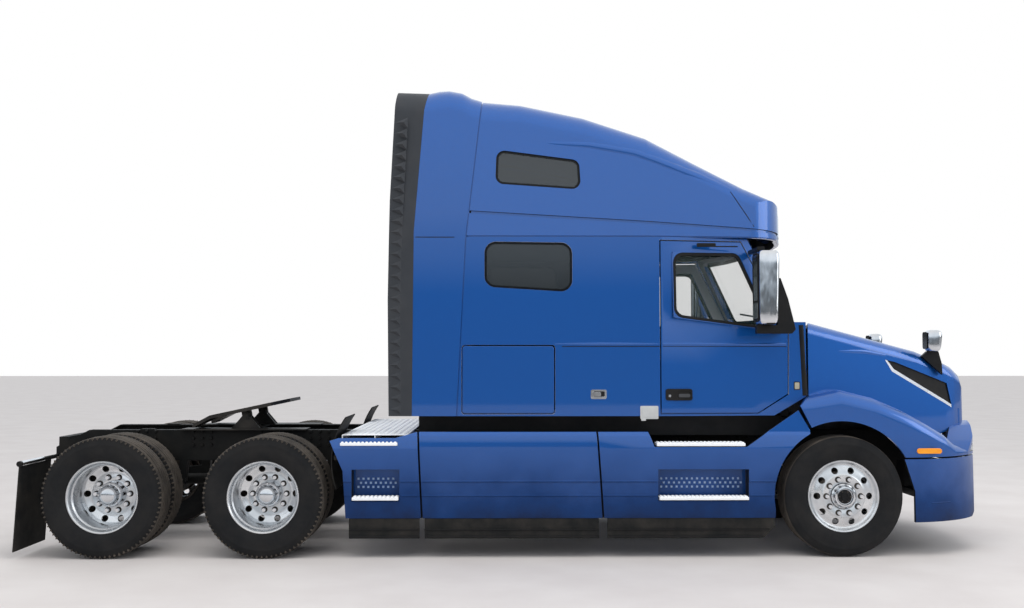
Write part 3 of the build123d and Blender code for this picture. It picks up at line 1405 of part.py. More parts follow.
# Cab interior seen through the glass
wheel_centre = (front_axle_x - 900, 540, 1660)
with BuildPart() as dashboard:
    side_prism([
        (front_axle_x - 320, 1480), (front_axle_x - 320, 1870), (front_axle_x - 420, 1890),
        (front_axle_x - 640, 1860), (front_axle_x - 690, 1760), (front_axle_x - 560, 1480),
    ], -cab_half_width, cab_half_width)
    add(cab_volume(cab_wall + 8), mode=Mode.INTERSECT)
    block((front_axle_x - 400, front_axle_x), (-300, 300), (1500, 1800))
    column = Plane(origin=wheel_centre, x_dir=(0, 1, 0), z_dir=(-sin(radians(35)), 0, cos(radians(35))))
    with BuildSketch(column.offset(-8)):
        Circle(28)
    extrude(amount=-700)
    add(cab_inner, mode=Mode.INTERSECT)

with BuildPart() as steering_wheel:
    with BuildSketch(column):
        Circle(225)
        Circle(195, mode=Mode.SUBTRACT)
        with PolarLocations(0, 4, start_angle=20):
            with Locations((110, 0)):
                Rectangle(190, 36)
        Circle(60)
    extrude(amount=26)
save(steering_wheel.part, "steering_wheel")

seat_places = (-540, 540)
seat_x = front_axle_x - 1400
floor_z = cab_bottom_z + cab_wall

with BuildPart() as seats:
    for y in seat_places:
        block((seat_x - 230, seat_x + 270), (y - 250, y + 250), (1490, 1620))
        side_prism([
            (seat_x - 250, 1580), (seat_x - 130, 1580), (seat_x - 270, 2330), (seat_x - 370, 2330),
        ], y - 240, y + 240)
save(seats.part, "seats")

bunk_rear_x = front_axle_x - 3080
bunk_front_x = front_axle_x - 2340
with BuildPart() as interior_base:
    block((bunk_rear_x, bunk_front_x), (-1140, 1140), (1752, 1776))
    block((bunk_front_x - 24, bunk_front_x), (-1140, 1140), (floor_z, 1752))
    for y in seat_places:
        block((seat_x - 180, seat_x + 200), (y - 180, y + 180), (floor_z, 1490))
save(Compound(children=[*dashboard.part.solids(), *interior_base.part.solids()]), "cab_interior")

with BuildPart() as bunk_mattress:
    block((bunk_rear_x, bunk_front_x - 10), (-1120, 1120), (1776, 1930))
    fillet(bunk_mattress.edges().filter_by(Axis.Z), 40)
save(bunk_mattress.part, "bunk_mattress")
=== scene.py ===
# %% [markdown]
# # A road tractor unit with a tall sleeper, dressed around its solid model
#
# The solids come in as a fixed frame: every piece already has its real size and place, in metres.
# This lesson gives them paint, rubber, metal and glass, and adds what is too small for the solids.
# +X is forward, +Y is the driver's left, +Z is up, and the ground is at zero.

# %% Load the frame
import itertools
import json
import math
import bmesh
import bpy
from mathutils import Matrix, Vector
from mathutils.bvhtree import BVHTree


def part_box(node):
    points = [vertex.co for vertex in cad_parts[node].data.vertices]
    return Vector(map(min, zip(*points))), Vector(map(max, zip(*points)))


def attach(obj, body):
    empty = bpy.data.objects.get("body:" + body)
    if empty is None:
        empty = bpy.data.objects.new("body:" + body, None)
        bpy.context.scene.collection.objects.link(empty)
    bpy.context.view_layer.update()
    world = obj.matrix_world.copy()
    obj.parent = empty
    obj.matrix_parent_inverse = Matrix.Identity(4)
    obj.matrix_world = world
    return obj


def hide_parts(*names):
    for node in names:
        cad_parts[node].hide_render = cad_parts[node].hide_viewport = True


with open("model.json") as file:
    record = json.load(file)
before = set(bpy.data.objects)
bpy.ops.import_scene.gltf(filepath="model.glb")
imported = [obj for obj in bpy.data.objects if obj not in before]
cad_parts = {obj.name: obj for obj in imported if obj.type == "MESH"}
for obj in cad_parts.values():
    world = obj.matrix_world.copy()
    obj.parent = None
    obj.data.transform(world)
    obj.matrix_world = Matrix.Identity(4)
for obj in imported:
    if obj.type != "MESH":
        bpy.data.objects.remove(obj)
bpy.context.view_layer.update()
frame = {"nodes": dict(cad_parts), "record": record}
record = frame["record"]
slot_of = {row["node"]: row["material_slot"] for row in record["subparts"]}
body_of = {node: body for body, nodes in record["behaviour"]["bodies"].items() for node in nodes}
hands = (("right", -1), ("left", 1))
front_axle = 2.725

# %% [markdown]
# ## Finishes
#
# Every finish is a node tree on the Principled shader. A pattern reads Object coordinates, because all
# pieces sit at the origin and share one frame, so dust and grain keep one scale over the whole vehicle.
# A few helpers keep each recipe short: a noise, a stretch of levels, a height mask, a blend and a bump.

# %% Node helpers


def feed(node, inputs):
    """Give each named input of a node a plain value or the socket that feeds it."""
    for name, value in inputs.items():
        if isinstance(value, bpy.types.NodeSocket):
            node.id_data.links.new(value, node.inputs[name])
        else:
            node.inputs[name].default_value = value
    return node


def add_node(tree, kind, inputs, **settings):
    """A new node of a kind, set and fed."""
    node = tree.nodes.new(kind)
    for name, value in settings.items():
        setattr(node, name, value)
    return feed(node, inputs)


def tone(*screen):
    """Screen colour, 0 to 255, as a shader wants it."""
    return (*(((c / 255 + 0.055) / 1.055) ** 2.4 if c > 10 else c / 3294.6 for c in screen), 1.0)


def start_finish(name, colour, roughness, metallic=0.0):
    """A material, its tree, its shader with plain values set, and the place that patterns read."""
    finish = bpy.data.materials.new(name)
    finish.use_nodes = True
    tree = finish.node_tree
    shader = feed(
        tree.nodes["Principled BSDF"], {"Base Color": colour, "Roughness": roughness, "Metallic": metallic},
    )
    return finish, tree, shader, tree.nodes.new("ShaderNodeTexCoord").outputs["Object"]


def noise(tree, place, scale, detail=4.0, rough=0.55, stretch=None):
    """Cloudy grey pattern at a scale in features per metre."""
    if stretch:
        place = add_node(tree, "ShaderNodeMapping", {"Vector": place, "Scale": stretch}).outputs["Vector"]
    pattern = {"Vector": place, "Scale": scale, "Detail": detail, "Roughness": rough}
    return add_node(tree, "ShaderNodeTexNoise", pattern).outputs["Fac"]


def levels(tree, value, low, high, out_low=0.0, out_high=1.0):
    """Stretch a value from low..high to out_low..out_high."""
    limits = {"Value": value, "From Min": low, "From Max": high, "To Min": out_low, "To Max": out_high}
    return add_node(tree, "ShaderNodeMapRange", limits).outputs["Result"]


def times(tree, first, second):
    """Product of two masks, or of a mask and a number."""
    return add_node(tree, "ShaderNodeMath", {0: first, 1: second}, operation="MULTIPLY").outputs[0]


def height_mask(tree, place, low, high):
    """One at the height low, zero at the height high."""
    split = add_node(tree, "ShaderNodeSeparateXYZ", {0: place})
    return levels(tree, split.outputs["Z"], low, high, 1.0, 0.0)


def blend(tree, factor, first, second):
    """Mix two colours, or a socket and a colour, by a mask."""
    colours = {"Factor": factor, 6: first, 7: second}
    return add_node(tree, "ShaderNodeMix", colours, data_type="RGBA").outputs[2]


def add_bump(tree, shader, height, strength, distance):
    """Raise the surface by a height pattern, distance in metres."""
    bump = add_node(tree, "ShaderNodeBump", {"Strength": strength, "Distance": distance, "Height": height})
    feed(shader, {"Normal": bump.outputs["Normal"]})


print("helpers ready")

# %% [markdown]
# ### Blue metallic paint
#
# The real coat is a dark base with fine flakes under clear lacquer. The flakes are a very fine noise that
# shifts the colour a little; the lacquer is the shader's own coat. The lower panels get painted shade: a mask
# by height times a cloudy noise mixes a dark blue over the paint, and also roughens it and thins its coat.

# %% Blue metallic paint
dust_colour = tone(150, 138, 126)
# painted shade: a dark blue mixed in low on the body, where the lower panels fall into shade
painted_shade_colour = tone(12, 24, 56)
shade_foot, shade_top = 0.30, 1.05
deep_blue, flake_blue = tone(2, 72, 150), tone(7, 98, 184)
blue_paint, tree, shader, place = start_finish("blue_paint", deep_blue, 0.34, 0.70)
flakes = levels(tree, noise(tree, place, 900.0, 1.0), 0.35, 0.65)
coat = blend(tree, flakes, deep_blue, flake_blue)
cloud = levels(tree, noise(tree, place, 2.6, 6.0, 0.6), 0.30, 0.75, 0.6, 1.0)
# painted shade mask: whole up to 0.3 m, gone by 1.05 m, broken up by a cloudy noise
dust_and_shade_film = times(tree, cloud, height_mask(tree, place, shade_foot, shade_top))
feed(shader, {
    "Base Color": blend(tree, dust_and_shade_film, coat, painted_shade_colour),
    "Roughness": levels(tree, dust_and_shade_film, 0.0, 0.5, 0.38, 0.65),
    "Coat Weight": levels(tree, dust_and_shade_film, 0.05, 0.6, 1.0, 0.15),
    "Coat Roughness": 0.03, "Coat IOR": 1.6,
})
add_bump(tree, shader, noise(tree, place, 260.0, 2.0), 0.04, 0.0006)
print("made", blue_paint.name)

# %% [markdown]
# ### Rubber, plastic, metal, glass and lamps
#
# Rubber and grained plastic get their look from roughness and a fine bump. Bright metal is a smooth
# metallic surface whose roughness is broken up a little, as polished aluminium has it. Tinted glass lets
# light through but keeps its gloss. Each finish belongs to a material slot of the record; the first one
# of a slot is the finish of the solids in it.

# %% Recipes for plain finishes and glass
dark_tone = 0.05


def make_plain(name, colour, other, roughness, grain, depth, metallic=0.0, dust=0.0):
    """A finish with two mottled tones, a grain and road dust."""
    finish, tree, shader, place = start_finish(name, tone(*colour), roughness, metallic)
    mottle = levels(tree, noise(tree, place, 6.0, 6.0), 0.35, 0.68)
    mixed = blend(tree, mottle, tone(*colour), tone(*other))
    if dust:
        dust_and_shade_film = times(tree, levels(tree, noise(tree, place, 5.0, 7.0, 0.65), 0.38, 0.72), dust)
        mixed = blend(tree, dust_and_shade_film, mixed, dust_colour)
    feed(shader, {
        "Base Color": mixed, "Roughness": levels(tree, mottle, 0.0, 1.0, roughness - 0.07, roughness + 0.07),
    })
    add_bump(tree, shader, noise(tree, place, grain, 3.0), 0.25, depth)
    if sum(tone(*colour)[:3]) < dark_tone:
        feed(shader, {"Specular IOR Level": 0.22})
    return finish


def make_glass(name, tint, alpha):
    """Tinted glass seen against a darker inside."""
    finish, tree, shader, place = start_finish(name, tone(*tint), 0.05)
    feed(shader, {
        "Alpha": alpha, "Coat Weight": 1.0, "Coat Roughness": 0.02,
        "Roughness": levels(tree, noise(tree, place, 3.0, 5.0), 0.3, 0.8, 0.03, 0.10),
    })
    return finish


print("recipes 2")

# %% The finishes and their slots
glass_rows = {
    # name: slot, tint, alpha
    "tinted_glass": ("glass", (44, 50, 54), 0.72), "lamp_lens": ("lamp_clear", (186, 196, 206), 0.45),
    "clear_glass": ("glass", (70, 90, 84), 0.12),
}
plain_rows = {
    # name: slot, two tones, roughness, grain per metre, bump in metres, metallic, dust
    "polished_aluminium": ("rim_metal", (224, 226, 228), (204, 207, 210), 0.30, 180, 0.0003, 0.95),
    "tyre_rubber": ("tyre", (22, 23, 25), (29, 30, 32), 0.82, 300, 0.0008, 0, 0.035),
    "chassis_black": ("chassis_metal", (9, 10, 10), (15, 16, 16), 0.60, 240, 0.0008, 0, 0.03),
    "engine_casting": ("engine_metal", (70, 74, 78), (52, 55, 58), 0.60, 160, 0.0012, 0.3, 0.2),
    "tank_aluminium": ("tank_metal", (150, 152, 155), (128, 130, 134), 0.38, 220, 0.0004, 1.0, 0.2),
    "extender_rubber": ("extender_rubber", (38, 42, 48), (44, 48, 54), 0.55, 260, 0.0006, 0, 0.03),
    "amber_lens": ("lamp_amber", (252, 164, 40), (240, 140, 26), 0.22, 320, 0.0006),
    "red_lens": ("lamp_red", (150, 20, 18), (120, 14, 14), 0.25, 320, 0.0006),
    "chrome_trim": ("grille_metal", (222, 224, 227), (204, 207, 211), 0.14, 120, 0.0002, 1.0),
    "chrome_housing": ("mirror_housing", (222, 224, 227), (200, 204, 209), 0.12, 120, 0.0002, 1.0),
    "black_plastic": ("black_plastic", (14, 15, 17), (20, 21, 23), 0.50, 420, 0.0006, 0, 0.03),
    "flap_rubber": ("flap_rubber", (19, 20, 21), (26, 27, 27), 0.70, 220, 0.0008, 0, 0.08),
    "tread_plate": ("step_metal", (244, 246, 249), (250, 251, 252), 0.42, 90, 0.0008),
    "coupling_iron": ("coupling_metal", (34, 34, 35), (56, 54, 52), 0.48, 140, 0.0012, 0.5, 0.12),
    "interior_plastic": ("interior_plastic", (74, 76, 80), (86, 88, 92), 0.65, 420, 0.0006),
    "dusty_tread": ("tyre", (44, 40, 36), (62, 56, 49), 0.9, 260, 0.0010, 0, 0.22),
    "brake_iron": ("chassis_metal", (46, 44, 42), (68, 60, 53), 0.75, 150, 0.0012, 0.3, 0.2),
    "headliner": ("cab_paint", (214, 216, 219), (222, 224, 227), 0.75, 420, 0.0006),
    "bright_trim": ("grille_metal", (232, 235, 240), (220, 224, 230), 0.28, 60, 0.00005, 0.6),
    "floor_mat": ("cab_paint", (34, 35, 37), (44, 45, 47), 0.90, 220, 0.0020),
    "pane_border": ("black_plastic", (12, 13, 15), (18, 19, 21), 0.18, 300, 0.0002),
    "grip_grey": ("black_plastic", (58, 60, 64), (70, 72, 76), 0.45, 300, 0.0004),
    "pearl_lens": ("lamp_clear", (196, 190, 170), (176, 170, 150), 0.25, 260, 0.0006),
    "cover_grey": ("black_plastic", (196, 198, 198), (180, 182, 183), 0.45, 260, 0.0006, 0, 0.1),
    "pierced_panel": ("cab_paint", (150, 174, 210), (176, 198, 230), 0.4, 200, 0.0004, 0.2),
}
finish_of = {"blue_paint": blue_paint}
home_slot = {blue_paint.name: "cab_paint"}
solid_finish = {"cab_paint": blue_paint}
for make, rows in ((make_glass, glass_rows), (make_plain, plain_rows)):
    for name, (slot, *recipe) in rows.items():
        finish_of[name] = make(name, *recipe)
        home_slot[finish_of[name].name] = slot
        solid_finish.setdefault(slot, finish_of[name])
print("finishes", len(finish_of))

# %% The chrome housings mirror a broken yard, which a large streaky bump stands for
housing = finish_of["chrome_housing"].node_tree
place = housing.nodes["Texture Coordinate"].outputs["Object"]
streaks = noise(housing, place, 7.0, 2.0, 0.5, (1.8, 1.8, 0.45))
add_bump(housing, housing.nodes["Principled BSDF"], streaks, 0.35, 0.020)
print("streaks on", housing.name)

# %% [markdown]
# ## Smooth skins for the solids
#
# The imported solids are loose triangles, so a curved panel would shade in flat facets and every edge would
# be knife sharp. Each one is copied, its doubled points are merged, flat faces are joined, and a small
# bevel rounds the edges as pressed panels and mouldings have them. The copy stands for the node.

# %% Make and fasten pieces


def add_object(name, data):
    """An object in the scene with some data."""
    piece = bpy.data.objects.new(name, data)
    bpy.context.collection.objects.link(piece)
    return piece


def round_edges(piece, width, angle):
    """Bevel the edges that are sharper than an angle."""
    rounding = piece.modifiers.new("edges", "BEVEL")
    rounding.width = width
    rounding.segments = 2
    rounding.limit_method = "ANGLE"
    rounding.angle_limit = math.radians(angle)
    return rounding


def fit(piece, body, slot, *nodes):
    """Fasten a piece to a body and hide the nodes that it stands for; slot is not used."""
    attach(piece, body)
    if nodes:
        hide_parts(*nodes)
    return piece


def smoothed(data, angle):
    """Shade mesh data smooth but for its edges over an angle."""
    data.shade_smooth()
    data.set_sharp_from_angle(angle=math.radians(angle))
    return data


def finished(mesh, finishes, angle=35):
    """Turn a bmesh into mesh data with its finishes, given as their names."""
    data = bpy.data.meshes.new("shape")
    mesh.to_mesh(data)
    mesh.free()
    for name in finishes.split():
        data.materials.append(finish_of[name])
    return smoothed(data, angle)


def add_data(name, data, body, *nodes, angle=35, bevel=0.0, slot=None):
    """A piece made of mesh data that rides on a body; slot is not used."""
    piece = add_object(name, data)
    if bevel:
        round_edges(piece, bevel, angle).harden_normals = True
    fit(piece, body, slot or home_slot[data.materials[0].name], *nodes)
    print(name, len(data.polygons))


def add_piece(name, mesh, finish, body, *nodes, angle=35, **options):
    """A piece made of a bmesh with one finish."""
    add_data(name, finished(mesh, finish, angle), body, *nodes, angle=angle, **options)


def evaluated(piece):
    """Mesh data of a piece as its modifiers leave it."""
    return bpy.data.meshes.new_from_object(piece.evaluated_get(bpy.context.evaluated_depsgraph_get()))


print("pieces can be made")

# %% Copy, merge, smooth and bevel the solids
sharp_edge = 32


def skin(node, bevel):
    """A smooth copy of one node that stands for it in the picture."""
    piece = add_object(node + "_skin", frame["nodes"][node].data.copy())
    mesh = bmesh.new()
    mesh.from_mesh(piece.data)
    bmesh.ops.remove_doubles(mesh, verts=mesh.verts, dist=2e-5)
    bmesh.ops.dissolve_limit(mesh, angle_limit=math.radians(0.6), verts=mesh.verts, edges=mesh.edges)
    mesh.to_mesh(piece.data)
    mesh.free()
    piece.data.materials.clear()
    piece.data.materials.append(solid_finish[slot_of[node]])
    smoothed(piece.data, sharp_edge)
    if bevel:
        round_edges(piece, bevel, sharp_edge)
    flatten = piece.modifiers.new("flat_panels", "WEIGHTED_NORMAL")
    flatten.keep_sharp = True
    flatten.weight = 80
    return fit(piece, body_of[node], slot_of[node], node)


edge_width = {
    "cab_windows": 0.0015, "door_glass_right": 0.0015, "door_glass_left": 0.0015, "headlamps": 0.002,
    "grille": 0.002, "bumper_grille": 0.003, "side_panels": 0.005, "roof_cap": 0.005, "hood": 0.005,
    "bumper": 0.008, "steps": 0.003, "engine": 0.02, "fifth_wheel_plate": 0.0, "fifth_wheel_base": 0.0,
}
own_shape = ("tyre", "rim_", "rims_", "mirror_head", "marker_lamps", "seats", "mattress")
skins = {
    node: skin(node, edge_width.get(node, 0.004)) for node in sorted(frame["nodes"])
    if not any(word in node for word in own_shape)
}
print("skins", len(skins))

# %% [markdown]
# ## Things that repeat
#
# Nuts, studs, perforations and rubber lugs repeat round a ring, over a grid or along a line. Geometry Nodes
# place them: a tree stands a stud on each point of its path. It has named inputs for its sizes and ends in
# Realize Instances and Set Material, and the result is kept as a plain mesh.

# %% Three trees of studs


def stud_tree(form):
    """Geometry nodes that stand studs on a ring or a grid in the XY plane, or on a drawn line."""
    tree = bpy.data.node_groups.new(f"studs_on_a_{form}", "GeometryNodeTree")
    sockets = {
        "ring": {"Count": "Int", "Radius": "Float"},
        "grid": {"Columns": "Int", "Rows": "Int", "Width": "Float", "Height": "Float"},
        "line": {"Geometry": "Geometry", "Count": "Int", "Turn": "Rotation"},
    }[form]
    sockets.update(
        Sides="Int", Foot="Float", Tip="Float", Length="Float", Stretch="Vector", Finish="Material",
    )
    for title, kind in sockets.items():
        tree.interface.new_socket(title, in_out="INPUT", socket_type="NodeSocket" + kind)
    tree.interface.new_socket("Geometry", in_out="OUTPUT", socket_type="NodeSocketGeometry")
    given = tree.nodes.new("NodeGroupInput").outputs
    turn = (0.0, 0.0, 0.0)
    if form == "ring":
        sizes = {"Vertices": given["Count"], "Radius": given["Radius"]}
        path = add_node(tree, "GeometryNodeMeshCircle", sizes)
        number = tree.nodes.new("GeometryNodeInputIndex").outputs[0]
        parts = {0: number, 1: given["Count"]}
        share = add_node(tree, "ShaderNodeMath", parts, operation="DIVIDE").outputs[0]
        turn = add_node(tree, "ShaderNodeCombineXYZ", {"Z": times(tree, share, 2 * math.pi)}).outputs[0]
    elif form == "grid":
        path = add_node(tree, "GeometryNodeMeshGrid", {
            "Size X": given["Width"], "Size Y": given["Height"],
            "Vertices X": given["Columns"], "Vertices Y": given["Rows"],
        })
    else:
        curve = add_node(tree, "GeometryNodeMeshToCurve", {"Mesh": given["Geometry"]}).outputs["Curve"]
        path = add_node(tree, "GeometryNodeResampleCurve", {"Curve": curve, "Count": given["Count"]})
        turn = given["Turn"]
    stud = add_node(tree, "GeometryNodeMeshCone", {
        "Vertices": given["Sides"], "Radius Bottom": given["Foot"], "Radius Top": given["Tip"],
        "Depth": given["Length"],
    })
    stand = add_node(tree, "GeometryNodeInstanceOnPoints", {
        "Points": path.outputs[0], "Instance": stud.outputs["Mesh"], "Rotation": turn,
        "Scale": given["Stretch"],
    })
    real = add_node(tree, "GeometryNodeRealizeInstances", {"Geometry": stand.outputs["Instances"]})
    painted = {"Geometry": real.outputs[0], "Material": given["Finish"]}
    paint = add_node(tree, "GeometryNodeSetMaterial", painted)
    add_node(tree, "NodeGroupOutput", {"Geometry": paint.outputs["Geometry"]})
    return tree


trees = {form: stud_tree(form) for form in ("ring", "grid", "line")}
print("trees", *trees)

# %% Run a tree and keep its mesh


def studs(form, finish, places=(Matrix(),), line=(), stretch=(1.0, 1.0, 1.0), **values):
    """Run a tree with its named inputs; the plain mesh is repeated at each place."""
    start = bpy.data.meshes.new("line")
    start.from_pydata(line, [(k, k + 1) for k in range(len(line) - 1)], [])
    holder = add_object("studs", start)
    growth = holder.modifiers.new("growth", "NODES")
    growth.node_group = trees[form]
    values.update(Stretch=stretch, Finish=finish_of[finish])
    for item in trees[form].interface.items_tree:
        if item.item_type == "SOCKET" and item.name in values:
            growth[item.identifier] = values[item.name]
    shape = evaluated(holder)
    bpy.data.objects.remove(holder)
    mesh = bmesh.new()
    for place in places:
        copy = shape.copy()
        copy.transform(place)
        mesh.from_mesh(copy)
    result = bpy.data.meshes.new("studs")
    mesh.to_mesh(result)
    mesh.free()
    result.materials.append(finish_of[finish])
    for face in result.polygons:
        face.material_index = 0
    return result


flat = Matrix.Rotation(math.pi / 2, 4, "X")

# %% [markdown]
# ## Wheels
#
# A tyre is one profile spun about its axle: beads, a bulging sidewall with a moulded ring, a shoulder and
# a tread with grooves all round. The rims are polished forgings: a rolled lip, a barrel and a disc with
# ten hand holes, which are cut before the edges are rounded. The steered rim bulges outwards, the rims of
# the dual wheels lie deep inside a stepped barrel. An outline's points are (radius, depth) in metres.

# %% Sizes of the wheels
axle_height = 0.5
wheelbase, tandem_half = 5.466, 0.6605
drive_axles = {
    "front_drive": front_axle - wheelbase + tandem_half, "rear_drive": front_axle - wheelbase - tandem_half,
}
steer_track = 1.055
dual_track = 0.918
dual_half = 0.1715
print("axles", drive_axles)

# %% Spin a closed profile


def bridge(mesh, low, high):
    """Faces between two rings of points."""
    corners = zip(low, low[1:] + low[:1], high[1:] + high[:1], high)
    return [mesh.faces.new(four) for four in corners]


def spin(mesh, outline, steps, tread_from=None):
    """Add a closed outline turned about the Y axis; depth grows towards -Y."""
    rings = []
    for step in range(steps):
        angle = 2 * math.pi * step / steps
        rings.append([mesh.verts.new((r * math.cos(angle), -d, r * math.sin(angle))) for r, d in outline])
    for step in range(steps):
        for k, face in enumerate(bridge(mesh, rings[step], rings[(step + 1) % steps])):
            if tread_from and min(outline[k][0], outline[(k + 1) % len(outline)][0]) > tread_from:
                face.material_index = 1


def close_up(mesh):
    """Merge the doubled points at the poles and turn the faces outwards."""
    bmesh.ops.remove_doubles(mesh, verts=mesh.verts, dist=1e-6)
    bmesh.ops.dissolve_degenerate(mesh, edges=mesh.edges, dist=1e-7)
    bmesh.ops.recalc_face_normals(mesh, faces=mesh.faces)


def spun(finishes, steps, *outlines, angle=38, track=0.0, tread_from=None):
    """Mesh data of closed outlines spun about the Y axis and moved out to a track."""
    mesh = bmesh.new()
    for outline in outlines:
        spin(mesh, outline, steps, tread_from)
    close_up(mesh)
    data = finished(mesh, finishes, angle)
    data.transform(Matrix.Translation((0, -track, 0)))
    return data


def turned_out(x, z, side):
    """Where something spun about the origin goes; side is -1 for the right, 1 for the left."""
    turn = Matrix.Rotation(math.pi, 4, "Z") if side > 0 else Matrix()
    return Matrix.Translation((x, 0, z)) @ turn


print("spin ready")

# %% Tyres
tyre_half = [
    (0.286, 0.1), (0.29, 0.112), (0.299, 0.119), (0.306, 0.1205), (0.314, 0.126), (0.328, 0.1335),
    (0.348, 0.1395), (0.374, 0.1437), (0.398, 0.1448), (0.42, 0.1436), (0.426, 0.145), (0.434, 0.145),
    (0.44, 0.142), (0.458, 0.138), (0.474, 0.1325), (0.484, 0.127), (0.491, 0.119), (0.495, 0.109),
    (0.4965, 0.098), (0.4972, 0.078), (0.485, 0.075), (0.485, 0.065), (0.498, 0.062), (0.4988, 0.032),
    (0.485, 0.029), (0.485, 0.019), (0.4996, 0.016), (0.5, 0.0),
]
tyre_outline = tyre_half + [(r, -d) for r, d in reversed(tyre_half[:-1])]
groove_floor = 0.4845


def tyres(steps, *tracks):
    """One or two tyres as one mesh."""
    outlines = [[(r, track + d) for r, d in tyre_outline] for track in tracks]
    return spun("tyre_rubber dusty_tread", steps, *outlines, angle=40, tread_from=groove_floor)


steer_tyre = tyres(144, steer_track)
dual_tyres = tyres(120, dual_track + dual_half, dual_track - dual_half)
print("tyre faces", len(steer_tyre.polygons), len(dual_tyres.polygons))

# %% Rims
rim_angle, rim_bevel = 38, 0.0022
steer_barrel = [
    (0.2985, 0.112), (0.2985, 0.118), (0.295, 0.1215), (0.289, 0.1215), (0.283, 0.117), (0.277, 0.108),
    (0.269, 0.098), (0.26, 0.092), (0.25, 0.09), (0.24, 0.04), (0.26, 0.03), (0.262, -0.1), (0.28, -0.112),
    (0.295, -0.1215), (0.2985, -0.118), (0.2985, -0.112), (0.286, -0.104), (0.284, -0.06), (0.284, 0.09),
    (0.288, 0.104),
]
steer_disc = [
    (0.256, 0.0915), (0.245, 0.0925), (0.233, 0.0975), (0.218, 0.103), (0.2, 0.107), (0.185, 0.109),
    (0.178, 0.1115), (0.174, 0.115), (0.112, 0.115), (0.108, 0.112), (0.09, 0.09), (0.09, 0.07),
    (0.19, 0.078), (0.22, 0.074), (0.245, 0.06), (0.256, 0.05),
]
dual_barrel = [
    (0.2985, 0.283), (0.2985, 0.2895), (0.295, 0.293), (0.289, 0.293), (0.283, 0.288), (0.278, 0.279),
    (0.274, 0.268), (0.2725, 0.244), (0.27, 0.239), (0.26, 0.233), (0.258, 0.228), (0.257, 0.05),
    (0.252, 0.034), (0.252, 0.01), (0.27, 0.008), (0.27, 0.04), (0.284, 0.064), (0.284, 0.26),
    (0.288, 0.274),
]
dual_disc = [
    (0.26, 0.033), (0.248, 0.038), (0.236, 0.036), (0.218, 0.028), (0.2, 0.02), (0.185, 0.016),
    (0.178, 0.017), (0.172, 0.021), (0.112, 0.021), (0.1, 0.019), (0.1, -0.008), (0.19, -0.008),
    (0.23, 0.002), (0.26, 0.01),
]


def rim(barrel, disc, track):
    """Barrel and disc, with ten hand holes through the disc."""
    plate = add_object("plate", spun("polished_aluminium", 120, disc, angle=35))
    cutter = add_object("cutter", studs(
        "ring", "polished_aluminium", [Matrix.Translation((0, 0.3, 0)) @ flat], Count=10, Radius=0.218,
        Sides=30, Foot=0.0275, Tip=0.0275, Length=0.6,
    ))
    cut = plate.modifiers.new("hand_holes", "BOOLEAN")
    cut.object = cutter
    cut.solver = "EXACT"
    shape = evaluated(plate)
    bpy.data.objects.remove(cutter)
    bpy.data.objects.remove(plate)
    mesh = bmesh.new()
    spin(mesh, barrel, 120)
    close_up(mesh)
    mesh.from_mesh(shape)
    data = finished(mesh, "polished_aluminium", rim_angle)
    data.transform(Matrix.Translation((0, -track, 0)))
    return data


steer_rim = rim(steer_barrel, steer_disc, steer_track)
dual_rim = rim(dual_barrel, dual_disc, dual_track)
print("rim faces", len(steer_rim.polygons), len(dual_rim.polygons))

# %% Hubs, drums and inner rims
steer_hub = [
    (0.0, 0.15), (0.058, 0.15), (0.06, 0.147), (0.064, 0.147), (0.066, 0.16), (0.07, 0.164), (0.082, 0.162),
    (0.086, 0.156), (0.088, 0.13), (0.094, 0.122), (0.102, 0.118), (0.102, 0.112), (0.0, 0.112),
]
oil_cap = [
    (0.0, 0.16), (0.022, 0.16), (0.024, 0.164), (0.032, 0.164), (0.035, 0.156), (0.052, 0.1545),
    (0.058, 0.15), (0.058, 0.144), (0.0, 0.144),
]
dual_hub = [
    (0.0, 0.1915), (0.025, 0.19), (0.048, 0.184), (0.064, 0.174), (0.074, 0.16), (0.08, 0.142),
    (0.086, 0.122), (0.098, 0.116), (0.102, 0.108), (0.102, 0.06), (0.106, 0.03), (0.11, 0.02), (0.0, 0.02),
]
drum = [
    (0.05, -0.01), (0.195, -0.01), (0.205, -0.016), (0.206, -0.04), (0.202, -0.046), (0.202, -0.21),
    (0.21, -0.22), (0.21, -0.2315), (0.05, -0.2315),
]
steer_drum = [
    (0.11, 0.075), (0.195, 0.075), (0.205, 0.069), (0.206, 0.045), (0.206, -0.05), (0.199, -0.05),
    (0.199, 0.06), (0.11, 0.064),
]
inner_rim = [
    (0.2985, -0.06), (0.2985, -0.0535), (0.292, -0.052), (0.276, -0.07), (0.272, -0.1), (0.272, -0.26),
    (0.28, -0.282), (0.295, -0.293), (0.2985, -0.2895), (0.2985, -0.283), (0.286, -0.274), (0.284, -0.26),
    (0.284, -0.08),
]
print("outlines", len(steer_hub), len(dual_hub))

